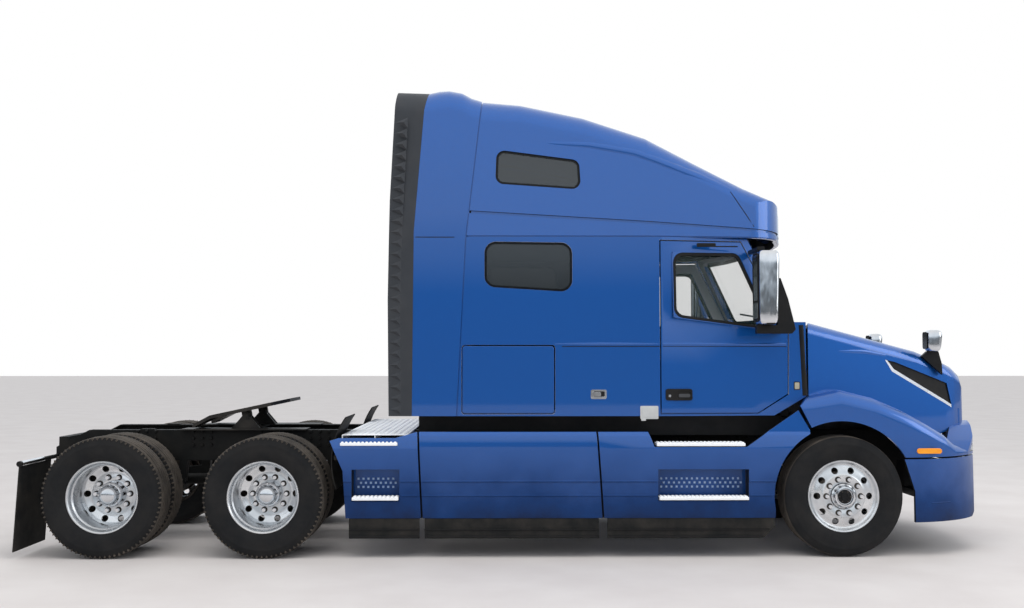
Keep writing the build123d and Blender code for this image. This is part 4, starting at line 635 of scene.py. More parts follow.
# %% Parts, nuts and bolts of a steered wheel and of a pair of dual wheels
steer_face, dual_face = steer_track + 0.115, dual_track + 0.021
lug_depths = [
    track + way * 0.1225 for track in (dual_track + dual_half, dual_track - dual_half) for way in (-1, 1)
]
steer_parts = (
    # piece, mesh, part of the name of the node that it stands for
    ("steer_rim", steer_rim, "rim"), ("steer_tyre", steer_tyre, "tyre"),
    ("steer_hub", spun("chrome_trim", 96, steer_hub, track=steer_track), None),
    ("oil_cap", spun("black_plastic", 48, oil_cap, track=steer_track), None),
    ("steer_drum", spun("brake_iron", 72, steer_drum, track=steer_track), None),
)
dual_parts = (
    ("rim", dual_rim, "rims"), ("tyre", dual_tyres, "tyres"),
    ("hub", spun("chrome_trim", 96, dual_hub, track=dual_track), None),
    ("drum", spun("brake_iron", 72, drum, inner_rim, track=dual_track), None),
)
steer_rings = (
    # piece, finish, depths, count, radius, sides, foot, tip, length, stretch
    ("steer_nuts", "chrome_trim", [steer_face], 10, 0.143, 14, 0.0185, 0.0150, 0.034, 1.0),
    ("steer_washers", "brake_iron", [steer_face], 10, 0.143, 18, 0.0260, 0.0240, 0.007, 1.0),
    ("cap_bolts", "brake_iron", [steer_track + 0.154], 6, 0.045, 6, 0.0060, 0.0055, 0.007, 1.0),
)
dual_rings = (
    ("nuts", "chrome_trim", [dual_face], 10, 0.143, 14, 0.0185, 0.0150, 0.040, 1.0),
    ("washers", "brake_iron", [dual_face], 10, 0.143, 18, 0.0260, 0.0240, 0.007, 1.0),
    ("hub_bolts", "chrome_trim", [dual_track + 0.116], 8, 0.0915, 6, 0.0075, 0.007, 0.010, 1.0),
    ("lugs", "dusty_tread", lug_depths, 76, 0.4835, 4, 0.0105, 0.0080, 0.016, 1.5),
)


def add_wheel(body, start, node_start, hand, place, parts, rings):
    """Put the parts of a wheel and its rings of studs on their body."""
    for name, data, replaced in parts:
        copy = data.copy()
        copy.transform(place)
        nodes = [f"{node_start}{replaced}_{hand}"] if replaced else []
        bevel = rim_bevel if name.endswith("rim") else 0.0
        add_data(f"{start}{name}_{hand}", copy, body, *nodes, angle=rim_angle, bevel=bevel)
    for name, finish, depths, count, radius, sides, foot, tip, length, stretch in rings:
        places = [place @ Matrix.Translation((0, -depth, 0)) @ flat for depth in depths]
        add_data(f"{start}{name}_{hand}", studs(
            "ring", finish, places, Count=count, Radius=radius, Sides=sides, Foot=foot, Tip=tip,
            Length=length, stretch=(stretch, 1.0, 1.0),
        ), body)


print("wheel parts", len(steer_parts) + len(dual_parts))

# %% Put the wheels on their bodies
for hand, side in hands:
    place = turned_out(front_axle, axle_height, side)
    add_wheel(f"front_wheel_{hand}", "", "front_", hand, place, steer_parts, steer_rings)
    for axle, axle_x in drive_axles.items():
        place = turned_out(axle_x, axle_height, side)
        add_wheel(f"{axle}_wheels_{hand}", f"{axle}_", f"{axle}_", hand, place, dual_parts, dual_rings)

# %% [markdown]
# ## Linings, seals and glass
#
# A painted panel is blue outside only: inside, the cab is trimmed in grey and the hood, the bumper and
# the fairings are raw black. Each face of a skin sends a ray along its normal; where the ray meets the
# same skin again, the face looks inwards and takes the lining. The window reveals and the gaps between
# panels turn dark in the same way, as their rubber seals are.

# %% Line the inside of painted shells
clear_of_face, vehicle_width = 0.0008, 3.4


def line_inside(piece, lining):
    """Give the faces that look at their own shell a second finish."""
    mesh = bmesh.new()
    mesh.from_mesh(piece.data)
    mesh.faces.ensure_lookup_table()
    tree = BVHTree.FromBMesh(mesh)
    widest = {}
    for loops in mesh.calc_loop_triangles():
        a, b, c = (loop.vert.co for loop in loops)
        size = (b - a).cross(c - a).length
        if size > widest.get(loops[0].face.index, (0, None))[0]:
            widest[loops[0].face.index] = (size, (a + b + c) / 3)
    piece.data.materials.append(finish_of[lining])
    lined = 0
    for index, (_, spot) in widest.items():
        normal = mesh.faces[index].normal
        if tree.ray_cast(spot + normal * clear_of_face, normal, vehicle_width)[0] is not None:
            piece.data.polygons[index].material_index = 1
            lined += 1
    mesh.free()
    return lined


for lining, nodes in (
    ("black_plastic", "hood bumper side_fairings roof_cap side_panels"),
    ("headliner", "cab_shell door_right door_left luggage_door_right luggage_door_left"),
):
    for node in nodes.split():
        print(node, line_inside(skins[node], lining))

# %% The rear edges of the bumper and of the fairings are raw black too
for node in ("bumper", "side_fairings"):
    for face in skins[node].data.polygons:
        if face.normal.x < -0.3 or face.normal.y * face.center.y < -0.3:
            face.material_index = 1
print("rear edges set")

# %% Doors are trimmed on the whole of their inner side
for hand, side in hands:
    for node in (f"door_{hand}", f"luggage_door_{hand}"):
        for face in skins[node].data.polygons:
            if face.normal.y * side < -0.5:
                face.material_index = 1
print("door linings set")

# %% Satin trim round the grille and along the vents, a dark mat on the cab's floor
skins["hood_trim"].data.materials[0] = finish_of["bright_trim"]
cab_faces = skins["cab_shell"].data
cab_faces.materials.append(finish_of["floor_mat"])
floor_top, least_area = 1.36, 0.05
for face in cab_faces.polygons:
    if face.normal.z > 0.9 and face.center.z < floor_top and face.area > least_area:
        face.material_index = len(cab_faces.materials) - 1
        print("floor face", round(face.center.z, 3), round(face.area, 2))

# %% [markdown]
# ### Panes
#
# The sleeper windows are almost black from outside, the door panes and the windscreen are clear. All of
# them but the door panes are bonded behind a black printed border. The border is an inset ring of the
# pane's own big faces, so it follows any outline.

# %% Borders and tints
tinted, border, clear = range(3)
sleeper_front = 1.7
mesh = bmesh.new()
mesh.from_mesh(skins["cab_windows"].data)
for face in mesh.faces:
    face.material_index = clear if face.calc_center_median().x > sleeper_front else tinted
big = [face for face in mesh.faces if face.calc_area() > 0.02 and face.material_index == tinted]
windscreen = [face for face in mesh.faces if face.material_index == clear and face.normal.x > 0.3]
rings = bmesh.ops.inset_region(mesh, faces=windscreen, thickness=0.045, use_even_offset=True)["faces"]
rings += bmesh.ops.inset_individual(mesh, faces=big, thickness=0.020, use_even_offset=True)["faces"]
for face in rings:
    face.material_index = border
mesh.to_mesh(skins["cab_windows"].data)
mesh.free()
for hand, _ in hands:
    for face in skins[f"door_glass_{hand}"].data.polygons:
        face.material_index = clear
for node in ("cab_windows", "door_glass_right", "door_glass_left"):
    for name in ("pane_border", "clear_glass"):
        skins[node].data.materials.append(finish_of[name])
print("panes bordered", len(rings))

# %% [markdown]
# ### Door window seals
#
# The pane of a door sits in a black rubber seal with round corners. The pane's own corner points give the
# outline: one loop just outside them, one loop inside them with a large corner radius, and a ring between.

# %% Outlines with round corners
corner_steps = 6


def offset_loop(points, inset, radius):
    """Flat convex outline, anticlockwise, moved inwards by inset and given round corners."""
    lines = []
    for a, b in zip(points, points[1:] + points[:1]):
        along = (b - a).normalized()
        lines.append((a + Vector((-along.y, along.x)) * inset, along))
    loop = []
    for (p, u), (q, v) in zip(lines[-1:] + lines, lines):
        corner = p + u * ((q - p).cross(v) / u.cross(v))
        turn = math.acos(max(-1.0, min(1.0, u.dot(v))))
        edge = corner - u * radius * math.tan(turn / 2)
        centre = edge + Vector((-u.y, u.x)) * radius
        start = math.atan2((edge - centre).y, (edge - centre).x)
        for step in range(corner_steps + 1):
            angle = start + turn * step / corner_steps
            loop.append(centre + Vector((math.cos(angle), math.sin(angle))) * radius)
    return loop


def hull(points):
    """Convex outline of flat points, anticlockwise, without points on its straight runs."""
    order = sorted(points, key=lambda p: (round(p.x, 5), p.y))
    chains = []
    for run in (order, order[::-1]):
        chain = []
        for p in run:
            while len(chain) > 1 and (chain[-1] - chain[-2]).cross(p - chain[-2]) < 2e-4:
                chain.pop()
            chain.append(p)
        chains.append(chain[:-1])
    return chains[0] + chains[1]


def corners_only(points):
    """Corners of an outline whose corners are rounded: its long edges' lines are crossed."""
    edges = [(a, b - a) for a, b in zip(points, points[1:] + points[:1])]
    fifth = sorted((way.length for _, way in edges), reverse=True)[:5][-1]
    edges = [(a, way.normalized()) for a, way in edges if way.length >= fifth and way.length > 0.08]
    corners = []
    for (p, u), (q, v) in zip(edges[-1:] + edges, edges):
        bend = u.cross(v)
        if abs(bend) > math.sin(math.radians(3)):
            corners.append(p + u * ((q - p).cross(v) / bend))
    return corners


print("outlines ready")

# %% Seals and painted corners of the door windows


def window_ring(name, finish, hand, side, outset, inset, radius, low, high):
    """Ring over the edge of a door's pane, between two heights over the pane's outer face."""
    data = frame["nodes"][f"door_glass_{hand}"].data
    outer = [face for face in data.polygons if face.normal.y * side > 0.5]
    normal = sum((face.normal * face.area for face in outer), Vector()).normalized()
    spots = [data.vertices[k].co.copy() for face in outer for k in face.vertices]
    origin = max(spots, key=lambda spot: spot.dot(normal))
    right = Vector((0, 0, 1)).cross(normal).normalized()
    up = normal.cross(right).normalized()
    corners = corners_only(hull([Vector(((p - origin).dot(right), (p - origin).dot(up))) for p in spots]))
    loops = [offset_loop(corners, -outset, 0.004), offset_loop(corners, inset, radius)]
    mesh = bmesh.new()
    layers = [
        [[mesh.verts.new(origin + right * p.x + up * p.y + normal * out) for p in loop] for loop in loops]
        for out in (low, high)
    ]
    for below, above in zip(*layers):
        bridge(mesh, below, above)
    for outside, inside in layers:
        bridge(mesh, outside, inside)
    close_up(mesh)
    add_piece(f"{name}_{hand}", mesh, finish, f"door_{hand}", angle=40, bevel=0.002)


for hand, side in hands:
    window_ring("door_seal", "black_plastic", hand, side, 0.003, 0.026, 0.072, -0.002, 0.016)
    window_ring("door_corners", "blue_paint", hand, side, 0.005, 0.0015, 0.085, 0.010, 0.0215)

# %% [markdown]
# ## Small plates, handles and lamps
#
# Handles, latches, marker lamps and covers are pressed or moulded pieces with rounded corners. A helper
# draws a rounded outline on a panel and extrudes it; a frame with an opening is made from two outlines.

# %% Rounded plates on a panel


def rounded_outline(width, height, radius, across=0.0, over=0.0):
    """Points of a rounded rectangle about a middle, anticlockwise."""
    points = []
    for corner, (sx, sy) in enumerate(((1, 1), (-1, 1), (-1, -1), (1, -1))):
        for step in range(corner_steps + 1):
            angle = math.pi / 2 * (corner + step / corner_steps)
            points.append((
                sx * (width / 2 - radius) + radius * math.cos(angle) + across,
                sy * (height / 2 - radius) + radius * math.sin(angle) + over,
            ))
    return points


def place_of(across, over, out, spot):
    """Matrix that stands a plate up: its width, its height and its outward way, and its middle."""
    return Matrix((*zip(across, over, out, spot), (0, 0, 0, 1)))


def side_place(x, z, side, y=1.2):
    """Matrix of a plate on the side panel: its width runs along X, its height along Z, outwards from y."""
    return place_of((1, 0, 0), (0, 0, 1), (0, side, 0), (x, side * y, z))


def rear_place(x, y, z):
    """Matrix of a plate that looks backwards."""
    return place_of((0, -1, 0), (0, 0, 1), (-1, 0, 0), (x, y, z))


def add_plate(mesh, place, width, height, radius, depth, sink=0.002, hole=None, shift=(0.0, 0.0)):
    """Rounded plate from a little under the panel to depth over it, with an optional rounded hole."""
    outlines = [rounded_outline(width, height, radius, *shift)]
    if hole:
        outlines.append(rounded_outline(*hole))
    layers = [
        [[mesh.verts.new(place @ Vector((u, v, level))) for u, v in outline] for outline in outlines]
        for level in (-sink, depth)
    ]
    made = []
    for below, above in zip(*layers):
        made += bridge(mesh, below, above)
    for layer in layers:
        made += bridge(mesh, *layer) if hole else [mesh.faces.new(layer[0])]
    bmesh.ops.recalc_face_normals(mesh, faces=made)


def plates(*rows):
    """A mesh of plates: their places, widths, heights, radii and depths, and a dict of their options."""
    mesh = bmesh.new()
    for *sizes, options in rows:
        add_plate(mesh, *sizes, **options)
    return mesh


def add_block(mesh, low, high):
    """Box between two corners as part of a mesh."""
    c = [mesh.verts.new(spot) for spot in itertools.product(*zip(low, high))]
    for corners in ((0, 1, 3, 2), (4, 6, 7, 5), (0, 4, 5, 1), (2, 3, 7, 6), (0, 2, 6, 4), (1, 5, 7, 3)):
        mesh.faces.new([c[k] for k in corners])


print("plates ready")

# %% Door handles, grips and locks
for hand, side in hands:
    door = f"door_{hand}"
    place = side_place(front_axle - 1.366, 1.342, side)
    add_piece(f"door_grip_{hand}", plates(
        (place, 0.096, 0.030, 0.010, 0.007, {"sink": 0.0, "shift": (0.044, -0.008)}),
    ), "grip_grey", door, bevel=0.003)
    add_piece(f"door_handle_{hand}", plates(
        (place, 0.222, 0.096, 0.018, 0.006, {"hole": (0.104, 0.058, 0.010, 0.044, 0.004)}),
        (place, 0.112, 0.066, 0.012, 0.0008, {"shift": (0.044, 0.004)}),
    ), "black_plastic", door, bevel=0.002)
    add_piece(f"door_lock_{hand}", plates(
        (place, 0.022, 0.022, 0.0105, 0.009, {"sink": 0.0, "shift": (-0.078, -0.010)}),
    ), "chrome_trim", door, bevel=0.0015)

# %% Latches of the luggage doors
for hand, side in hands:
    place = side_place(front_axle - 2.035, 1.345, side)
    add_piece(f"luggage_latch_{hand}", plates(
        (place, 0.132, 0.078, 0.014, 0.005, {"hole": (0.092, 0.044, 0.009, 0.004, 0.003)}),
        (place, 0.058, 0.034, 0.008, 0.0055, {"sink": 0.0, "shift": (-0.010, 0.002)}),
        (place, 0.016, 0.050, 0.006, 0.009, {"sink": 0.0, "shift": (-0.050, -0.004)}),
    ), "chrome_trim", "chassis", bevel=0.0015)
    add_piece(f"latch_pocket_{hand}", plates(
        (place, 0.098, 0.050, 0.010, 0.0012, {"sink": 0.001, "shift": (0.004, 0.003)}),
    ), "black_plastic", "chassis")

# %% [markdown]
# ## Folds in the rubber extenders
#
# The dark extenders behind the sleeper end in a row of small wedge-shaped folds that run down the whole
# rear edge. They follow the edge, which leans, so the third tree stands a low three-sided wedge on each
# point of an evenly divided line, turned so that its tip points backwards.

# %% Folds down the rear edges


def outwards(side, roll):
    """Turn of a stud that stands on the side of the vehicle and is rolled about its own axis."""
    return tuple((Matrix.Rotation(-side * math.pi / 2, 4, "X") @ Matrix.Rotation(roll, 4, "Z")).to_euler())


# side-view points from the front axle
fold_line = [(-3.664, 3.62), (-3.692, 3.05), (-3.711, 2.50), (-3.716, 2.10), (-3.712, 1.65), (-3.704, 1.22)]
for hand, side in hands:
    folds = studs(
        "line", "extender_rubber", line=[(front_axle + x, side * 1.199, z) for x, z in fold_line],
        Turn=outwards(side, math.pi), Count=27, Sides=3, Foot=0.050, Tip=0.004, Length=0.018,
        stretch=(1.38, 1.0, 1.0),
    )
    add_data(f"extender_folds_{hand}", folds, "chassis")

# %% [markdown]
# ## Steps, treads and skirts
#
# The bright steps have rows of small teeth for grip, which stand up along their edges, and the panel at
# the back of each toe space is pierced. The deck behind the cab is tread plate. All three are rows of
# small studs, so the trees make them; only the studs' sizes and numbers differ.

# %% Teeth on the steps
step_rows = (
    # rear, front, top, outer edge and depth of the toothed band, from the front axle
    (-1.556, -0.823, 0.942, 1.224, 0.120), (-1.540, -0.803, 0.502, 1.245, 0.105),
    (-4.170, -3.700, 0.949, 1.245, 0.036), (-4.070, -3.690, 0.502, 1.245, 0.105),
)
row_gap, tooth_gap = 0.034, 0.0335
for hand, side in hands:
    teeth = bmesh.new()
    for rear, front, top, edge, depth in step_rows:
        rows = max(1, round(depth / row_gap))
        centre = (front_axle + (rear + front) / 2, side * (edge - 0.012 - (rows - 1) * row_gap / 2), top)
        teeth.from_mesh(studs(
            "grid", "tread_plate", [Matrix.Translation(centre)], Columns=round((front - rear) / tooth_gap),
            Rows=rows, Width=front - rear - 0.036, Height=(rows - 1) * row_gap + 0.0001, Sides=8, Foot=0.0115,
            Tip=0.0075, Length=0.009,
        ))
    add_piece(f"step_teeth_{hand}", teeth, "tread_plate", "chassis", angle=30)

# %% Pierced panels at the back of the toe spaces
hole_gap, hole_margin = 0.042, 0.03
for hand, side in hands:
    holes = bmesh.new()
    for rear, front in ((-1.546, -0.797), (-4.076, -3.684)):
        for level, shift in ((0.640, 0.0), (0.606, 0.5), (0.572, 0.0)):
            count = round((front - rear - 2 * hole_margin) / hole_gap)
            step = (front - rear - 2 * hole_margin) / count
            ends = (rear + hole_margin + (shift + 0.25) * step, front - hole_margin - (0.75 - shift) * step)
            holes.from_mesh(studs(
                "line", "pierced_panel", line=[(front_axle + x, side * 1.0925, level) for x in ends],
                Turn=outwards(side, math.pi / 4), Count=count, Sides=4, Foot=0.0125, Tip=0.009, Length=0.004,
            ))
    add_piece(f"toe_panel_{hand}", holes, "pierced_panel", "chassis", angle=30)

# %% Tread plate on the deck: two grids of lugs that lie across each other
deck = bmesh.new()
for shift, stretch in ((0.0, (1.0, 0.55, 1.0)), (0.0275, (0.55, 1.0, 1.0))):
    middle = Matrix.Translation((front_axle - 3.895 + shift / 2, shift, 1.0105))
    deck.from_mesh(studs(
        "grid", "tread_plate", [middle], Columns=10, Rows=40, Width=0.47, Height=2.16, Sides=4, Foot=0.016,
        Tip=0.010, Length=0.0035, stretch=stretch,
    ))
add_piece("deck_tread", deck, "tread_plate", "chassis", angle=30)

# %% Ribs on the black skirts
skirt_runs = ((-4.095, -3.523, 0.0), (-3.470, -2.040, 0.0), (-1.960, -0.600, 0.075))  # rear, front, slant
rib_rows = ((0.232, 0.012, 0.35), (0.176, 0.016, 1.0))  # level, height, share of the slant
for hand, side in hands:
    ribs = bmesh.new()
    for rear, front, slant in skirt_runs:
        for level, height, share in rib_rows:
            foot = (front_axle + rear, side * 1.188, level - height / 2)
            add_block(ribs, foot, (front_axle + (front - slant * share), side * 1.199, level + height / 2))
    close_up(ribs)
    add_piece(f"skirt_ribs_{hand}", ribs, "black_plastic", "chassis", bevel=0.004)

# %% [markdown]
# ## Mirrors
#
# The chrome shells of the mirrors are moulded with large radii, so each is a superellipse shell in the
# box of the sharp solid. The rear face of each door mirror carries two glasses in a black frame. The
# small mirrors on the hood have a chrome head on a black fin, which is the solid's own lower half.

# %% A crowned shell between two corners
shell_rings, shell_sides = 18, 40


def pebble(low, high, plan_power, height_power, foot):
    """Superellipse shell in a box; its foot is narrower along X by a share."""
    mesh = bmesh.new()
    middle = (Vector(low) + Vector(high)) / 2
    half = (Vector(high) - Vector(low)) / 2
    rows = []
    for r in range(1, shell_rings):
        t = -math.cos(math.pi * r / shell_rings)
        width = (1 - abs(t) ** height_power) ** (1 / height_power)
        lean = foot + (1 - foot) * (t + 1) / 2
        row = []
        for s in range(shell_sides):
            turn = 2 * math.pi * s / shell_sides
            round_point = (math.cos(turn), math.sin(turn))
            along, across = (math.copysign(abs(part) ** (2 / plan_power), part) for part in round_point)
            row.append(mesh.verts.new((
                middle.x - half.x * (1 - lean) + along * half.x * width * lean,
                middle.y + across * half.y * width, middle.z + t * half.z,
            )))
        rows.append(row)
    for below, above in zip(rows, rows[1:]):
        bridge(mesh, below, above)
    for row in (rows[0], rows[-1]):
        rise = Vector((0, 0, (row[0].co.z - middle.z) * 0.004))
        tip = mesh.verts.new(sum((v.co for v in row), Vector()) / shell_sides + rise)
        for here, there in zip(row, row[1:] + row[:1]):
            mesh.faces.new((here, there, tip))
    bmesh.ops.recalc_face_normals(mesh, faces=mesh.faces)
    return mesh


print("shell ready")

# %% Door mirrors
for hand, side in hands:
    door, node = f"door_{hand}", f"mirror_head_{hand}"
    low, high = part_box(node)
    shell = pebble(low, high, 5.0, 9.0, 0.90)
    add_piece(f"mirror_shell_{hand}", shell, "chrome_housing", door, node, angle=75)
    place = rear_place(low[0], (low[1] + high[1]) / 2, (low[2] + high[2]) / 2)
    add_piece(f"mirror_frame_{hand}", plates(
        (place, 0.176, 0.560, 0.035, 0.006, {"hole": (0.150, 0.370, 0.022, 0.0, 0.078)}),
    ), "black_plastic", door, bevel=0.002)
    add_piece(f"mirror_glass_{hand}", plates(
        (place, 0.154, 0.374, 0.022, 0.003, {"shift": (0.0, 0.078)}),
        (place, 0.150, 0.130, 0.022, 0.0075, {"sink": 0.0, "shift": (0.0, -0.190)}),
    ), "chrome_trim", door, bevel=0.001, slot="mirror_housing")
    foot = bmesh.new()
    corner = (low[0] + 0.060, low[1] + 0.012, low[2])
    add_block(foot, corner, (high[0] - 0.050, high[1] - 0.012, low[2] + 0.010))
    close_up(foot)
    add_piece(f"mirror_foot_{hand}", foot, "black_plastic", door, bevel=0.003)

# %% Hood mirrors
head_foot, head_rear = 1.7035, front_axle + 0.882
fins = skins["hood_mirrors"].data
mesh = bmesh.new()
mesh.from_mesh(fins)
above = [face for face in mesh.faces if face.calc_center_median().z > head_foot]
bmesh.ops.delete(mesh, geom=above, context="FACES")
bmesh.ops.holes_fill(mesh, edges=[edge for edge in mesh.edges if edge.is_boundary])
bmesh.ops.recalc_face_normals(mesh, faces=mesh.faces)
mesh.to_mesh(fins)
mesh.free()
fins.materials[0] = finish_of["black_plastic"]
for hand, side in hands:
    near, far = sorted((side * 0.665, side * 0.795))
    head = pebble((head_rear, near, 1.700), (front_axle + 1.028, far, 1.893), 3.2, 4.0, 0.86)
    add_piece(f"hood_mirror_head_{hand}", head, "chrome_housing", "hood", angle=75)
    add_piece(f"hood_mirror_glass_{hand}", plates(
        (rear_place(head_rear, side * 0.730, 1.80), 0.100, 0.150, 0.025, 0.004, {}),
    ), "pane_border", "hood", bevel=0.0015)

# %% [markdown]
# ## Seams and pressed lines
#
# Pressed creases and thin gaps are what makes large blue panels read as sheet metal. Each line is drawn in
# the side view and thrown onto the panel with rays, so it lies on the curved surface. A dark thread that
# is half sunk reads as a gap, a wide blue one that barely rises reads as a pressed crease.

# %% Throw a line onto a panel
panel_trees = {}


def search_tree(data):
    """Search tree of a mesh's faces."""
    mesh = bmesh.new()
    mesh.from_mesh(data)
    tree = BVHTree.FromBMesh(mesh)
    mesh.free()
    return tree


def hit(node, start, way, reach=3.0):
    """Where a ray meets a node's own solid first, and the normal there."""
    if node not in panel_trees:
        panel_trees[node] = search_tree(frame["nodes"][node].data)
    return panel_trees[node].ray_cast(Vector(start), Vector(way), reach)[:2]


def side_line(node, points, side, step=0.06):
    """Points and normals on the side of a node under a line given in the side view from the front axle."""
    found = []
    points = [(front_axle + x, z) for x, z in points]
    for (x0, z0), (x1, z1) in zip(points, points[1:]):
        count = max(2, int(math.hypot(x1 - x0, z1 - z0) / step))
        for k in range(count + 1):
            start = (x0 + (x1 - x0) * k / count, side * 1.6, z0 + (z1 - z0) * k / count)
            spot, normal = hit(node, start, (0, -side, 0), 1.2)
            if spot is not None and (not found or (spot - found[-1][0]).length > 0.004):
                found.append((spot, normal))
    return found


def add_thread(mesh, spots, radius, sink, sides=8, taper=0):
    """Round thread through spots, its axis sunk under the surface; its ends taper over some spots."""
    last = len(spots) - 1
    rings = []
    for k, (spot, normal) in enumerate(spots):
        ahead = (spots[min(k + 1, last)][0] - spots[max(k - 1, 0)][0]).normalized()
        out = (normal - ahead * normal.dot(ahead)).normalized()
        across = ahead.cross(out)
        fade = min(1.0, (min(k, last - k) + 0.5) / taper) if taper else 1.0
        centre = spot - out * (sink + (1 - fade) * (radius - sink) * 0.98)
        rings.append([
            mesh.verts.new(centre + (out * math.cos(a) + across * math.sin(a)) * radius)
            for a in (2 * math.pi * s / sides for s in range(sides))
        ])
    for low, high in zip(rings, rings[1:]):
        bridge(mesh, low, high)
    mesh.faces.new(rings[0])
    mesh.faces.new(rings[-1])


print("threads ready")

# %% Gaps and creases
roof_seam = ((-0.905, 3.055), (-0.800, 2.900), (-0.705, 2.755))
roof_edge = ((-2.45, 3.46), (-2.10, 3.44), (-1.72, 3.375), (-1.16, 3.185), (-0.86, 3.055))
side_lines = (
    # kind, body, node, radius, sink, sides, taper, side-view points from the front axle
    ("gaps", "chassis", "roof_cap", 0.0040, 0.0012, 8, 0, roof_seam),
    ("gaps", "chassis", "cab_shell", 0.0040, 0.0012, 8, 0, ((-2.400, 1.7435), (-1.524, 1.7435))),
    ("gaps", "chassis", "side_panels", 0.0040, 0.0012, 8, 0, ((-3.560, 2.655), (-3.236, 2.655))),
    ("gaps", "chassis", "cab_shell", 0.030, 0.021, 20, 0, ((-0.310, 1.925), (-0.284, 1.330))),
    ("gaps", "door_{}", "door_{}", 0.0030, 0.0010, 8, 0, ((-1.500, 1.7435), (-0.440, 1.7435))),
    ("creases", "chassis", "roof_cap", 0.060, 0.0535, 48, 7, roof_edge),
    ("creases", "chassis", "cab_shell", 0.020, 0.0165, 48, 7, ((-2.400, 1.764), (-1.524, 1.764))),
    ("creases", "hood", "hood", 0.050, 0.0450, 48, 7, ((0.05, 1.705), (0.30, 1.700), (0.50, 1.668))),
    ("creases", "door_{}", "door_{}", 0.020, 0.0165, 32, 0, ((-1.500, 1.762), (-0.440, 1.762))),
)
line_looks = {"gaps": ("black_plastic", 50), "creases": ("blue_paint", 60)}
for hand, side in hands:
    meshes = {}
    for kind, body, node, radius, sink, sides, taper, points in side_lines:
        mesh = meshes.setdefault((body.format(hand), kind), bmesh.new())
        add_thread(mesh, side_line(node.format(hand), points, side), radius, sink, sides, taper)
    for (body, kind), mesh in meshes.items():
        close_up(mesh)
        finish, angle = line_looks[kind]
        add_piece(f"{body}_{kind}_{hand}", mesh, finish, body, angle=angle)

# %% Creases on the fairings and the bumper
crease_runs = {
    ("side_fairings", 0.632): (
        (-4.14, -4.085), (-3.672, -3.535), (-3.49, -2.05), (-2.00, -1.56), (-0.785, -0.60),
    ),
    ("side_fairings", 0.510): ((-3.672, -3.53), (-3.48, -2.03), (-1.99, -1.56), (-0.785, -0.60)),
    ("bumper", 0.440): ((0.74, 0.93),),
}
for hand, side in hands:
    mesh = bmesh.new()
    for (node, level), runs in crease_runs.items():
        for run in runs:
            spots = side_line(node, [(x, level) for x in run], side, 0.12)
            if len(spots) > 1:
                add_thread(mesh, spots, 0.009, 0.006, 16)
    close_up(mesh)
    add_piece(f"fairing_creases_{hand}", mesh, "blue_paint", "chassis", angle=60)

# %% [markdown]
# ## Under the cab and along the frame
#
# Under the cab and behind the panel gaps, black sheets close the view: painted shade, dark for the shade that
# falls there. Strips of it back the gaps between the fairings and the gap behind the door. The frame rails
# carry rows of lock bolts, and bright sleeves with rubber caps cover the hangers of the mud flaps.

# %% Black sheets of painted shade under the cab and behind the gaps, and flap hangers
# painted shade: black sheets under the cab and behind the gaps, dark where the shade falls
shade_sheet_rows = (
    # two opposite corners, from the front axle
    ((-3.55, 0.880, 0.985), (-0.44, 0.892, 1.172)), ((-3.565, 1.128, 0.320), (-3.445, 1.140, 0.995)),
    ((-2.075, 1.128, 0.320), (-1.955, 1.140, 0.995)), ((-0.78, 0.880, 1.150), (-0.372, 0.892, 1.330)),
    ((-1.5255, 1.128, 1.200), (-1.516, 1.140, 2.620)),
)
hanger = (-4.081, 0.775)
sleeve = [(0.0, 0.760), (0.0215, 0.760), (0.0220, 0.768), (0.0220, 1.180), (0.0215, 1.186), (0.0, 1.186)]
cap = [(0.0, 1.184), (0.0230, 1.184), (0.0235, 1.190), (0.0235, 1.214), (0.0190, 1.218), (0.0, 1.218)]
for hand, side in hands:
    mesh = bmesh.new()
    for corners in shade_sheet_rows:
        add_block(mesh, *((front_axle + x, side * y, z) for x, y, z in corners))
    close_up(mesh)
    add_piece(f"shade_sheets_{hand}", mesh, "black_plastic", "chassis", bevel=0.003)
    for name, outline, finish in (("flap_sleeve", sleeve, "chrome_trim"), ("flap_cap", cap, "black_plastic")):
        data = spun(finish, 24, outline, angle=40)
        data.transform(turned_out(*hanger, side))
        add_data(f"{name}_{hand}", data, "chassis")

# %% Lock bolts on the frame rails
bolt_level = 0.930
for hand, side in hands:
    rail_face = abs(hit("frame_rails", (-1.2, side, bolt_level), (0, -side, 0))[0].y)
    places = [
        side_place(x, bolt_level, side, rail_face)
        for x in (-3.30, -2.80, -2.20, -1.75, -1.25, -0.60, 0.10, 0.80, 1.50, 2.10)
    ]
    add_data(f"rail_bolts_{hand}", studs(
        "grid", "chassis_black", places, Columns=3, Rows=3, Width=0.16, Height=0.12, Sides=6, Foot=0.0155,
        Tip=0.0125, Length=0.022,
    ), "chassis")

# %% [markdown]
# ## Small fittings on the cab and the nose
#
# A clear marker lamp sits on the cowl, a grey cover plate under the sleeper, a black sill over each door
# window. The amber side markers have round ends, and small amber lamps stand on the roof's nose.

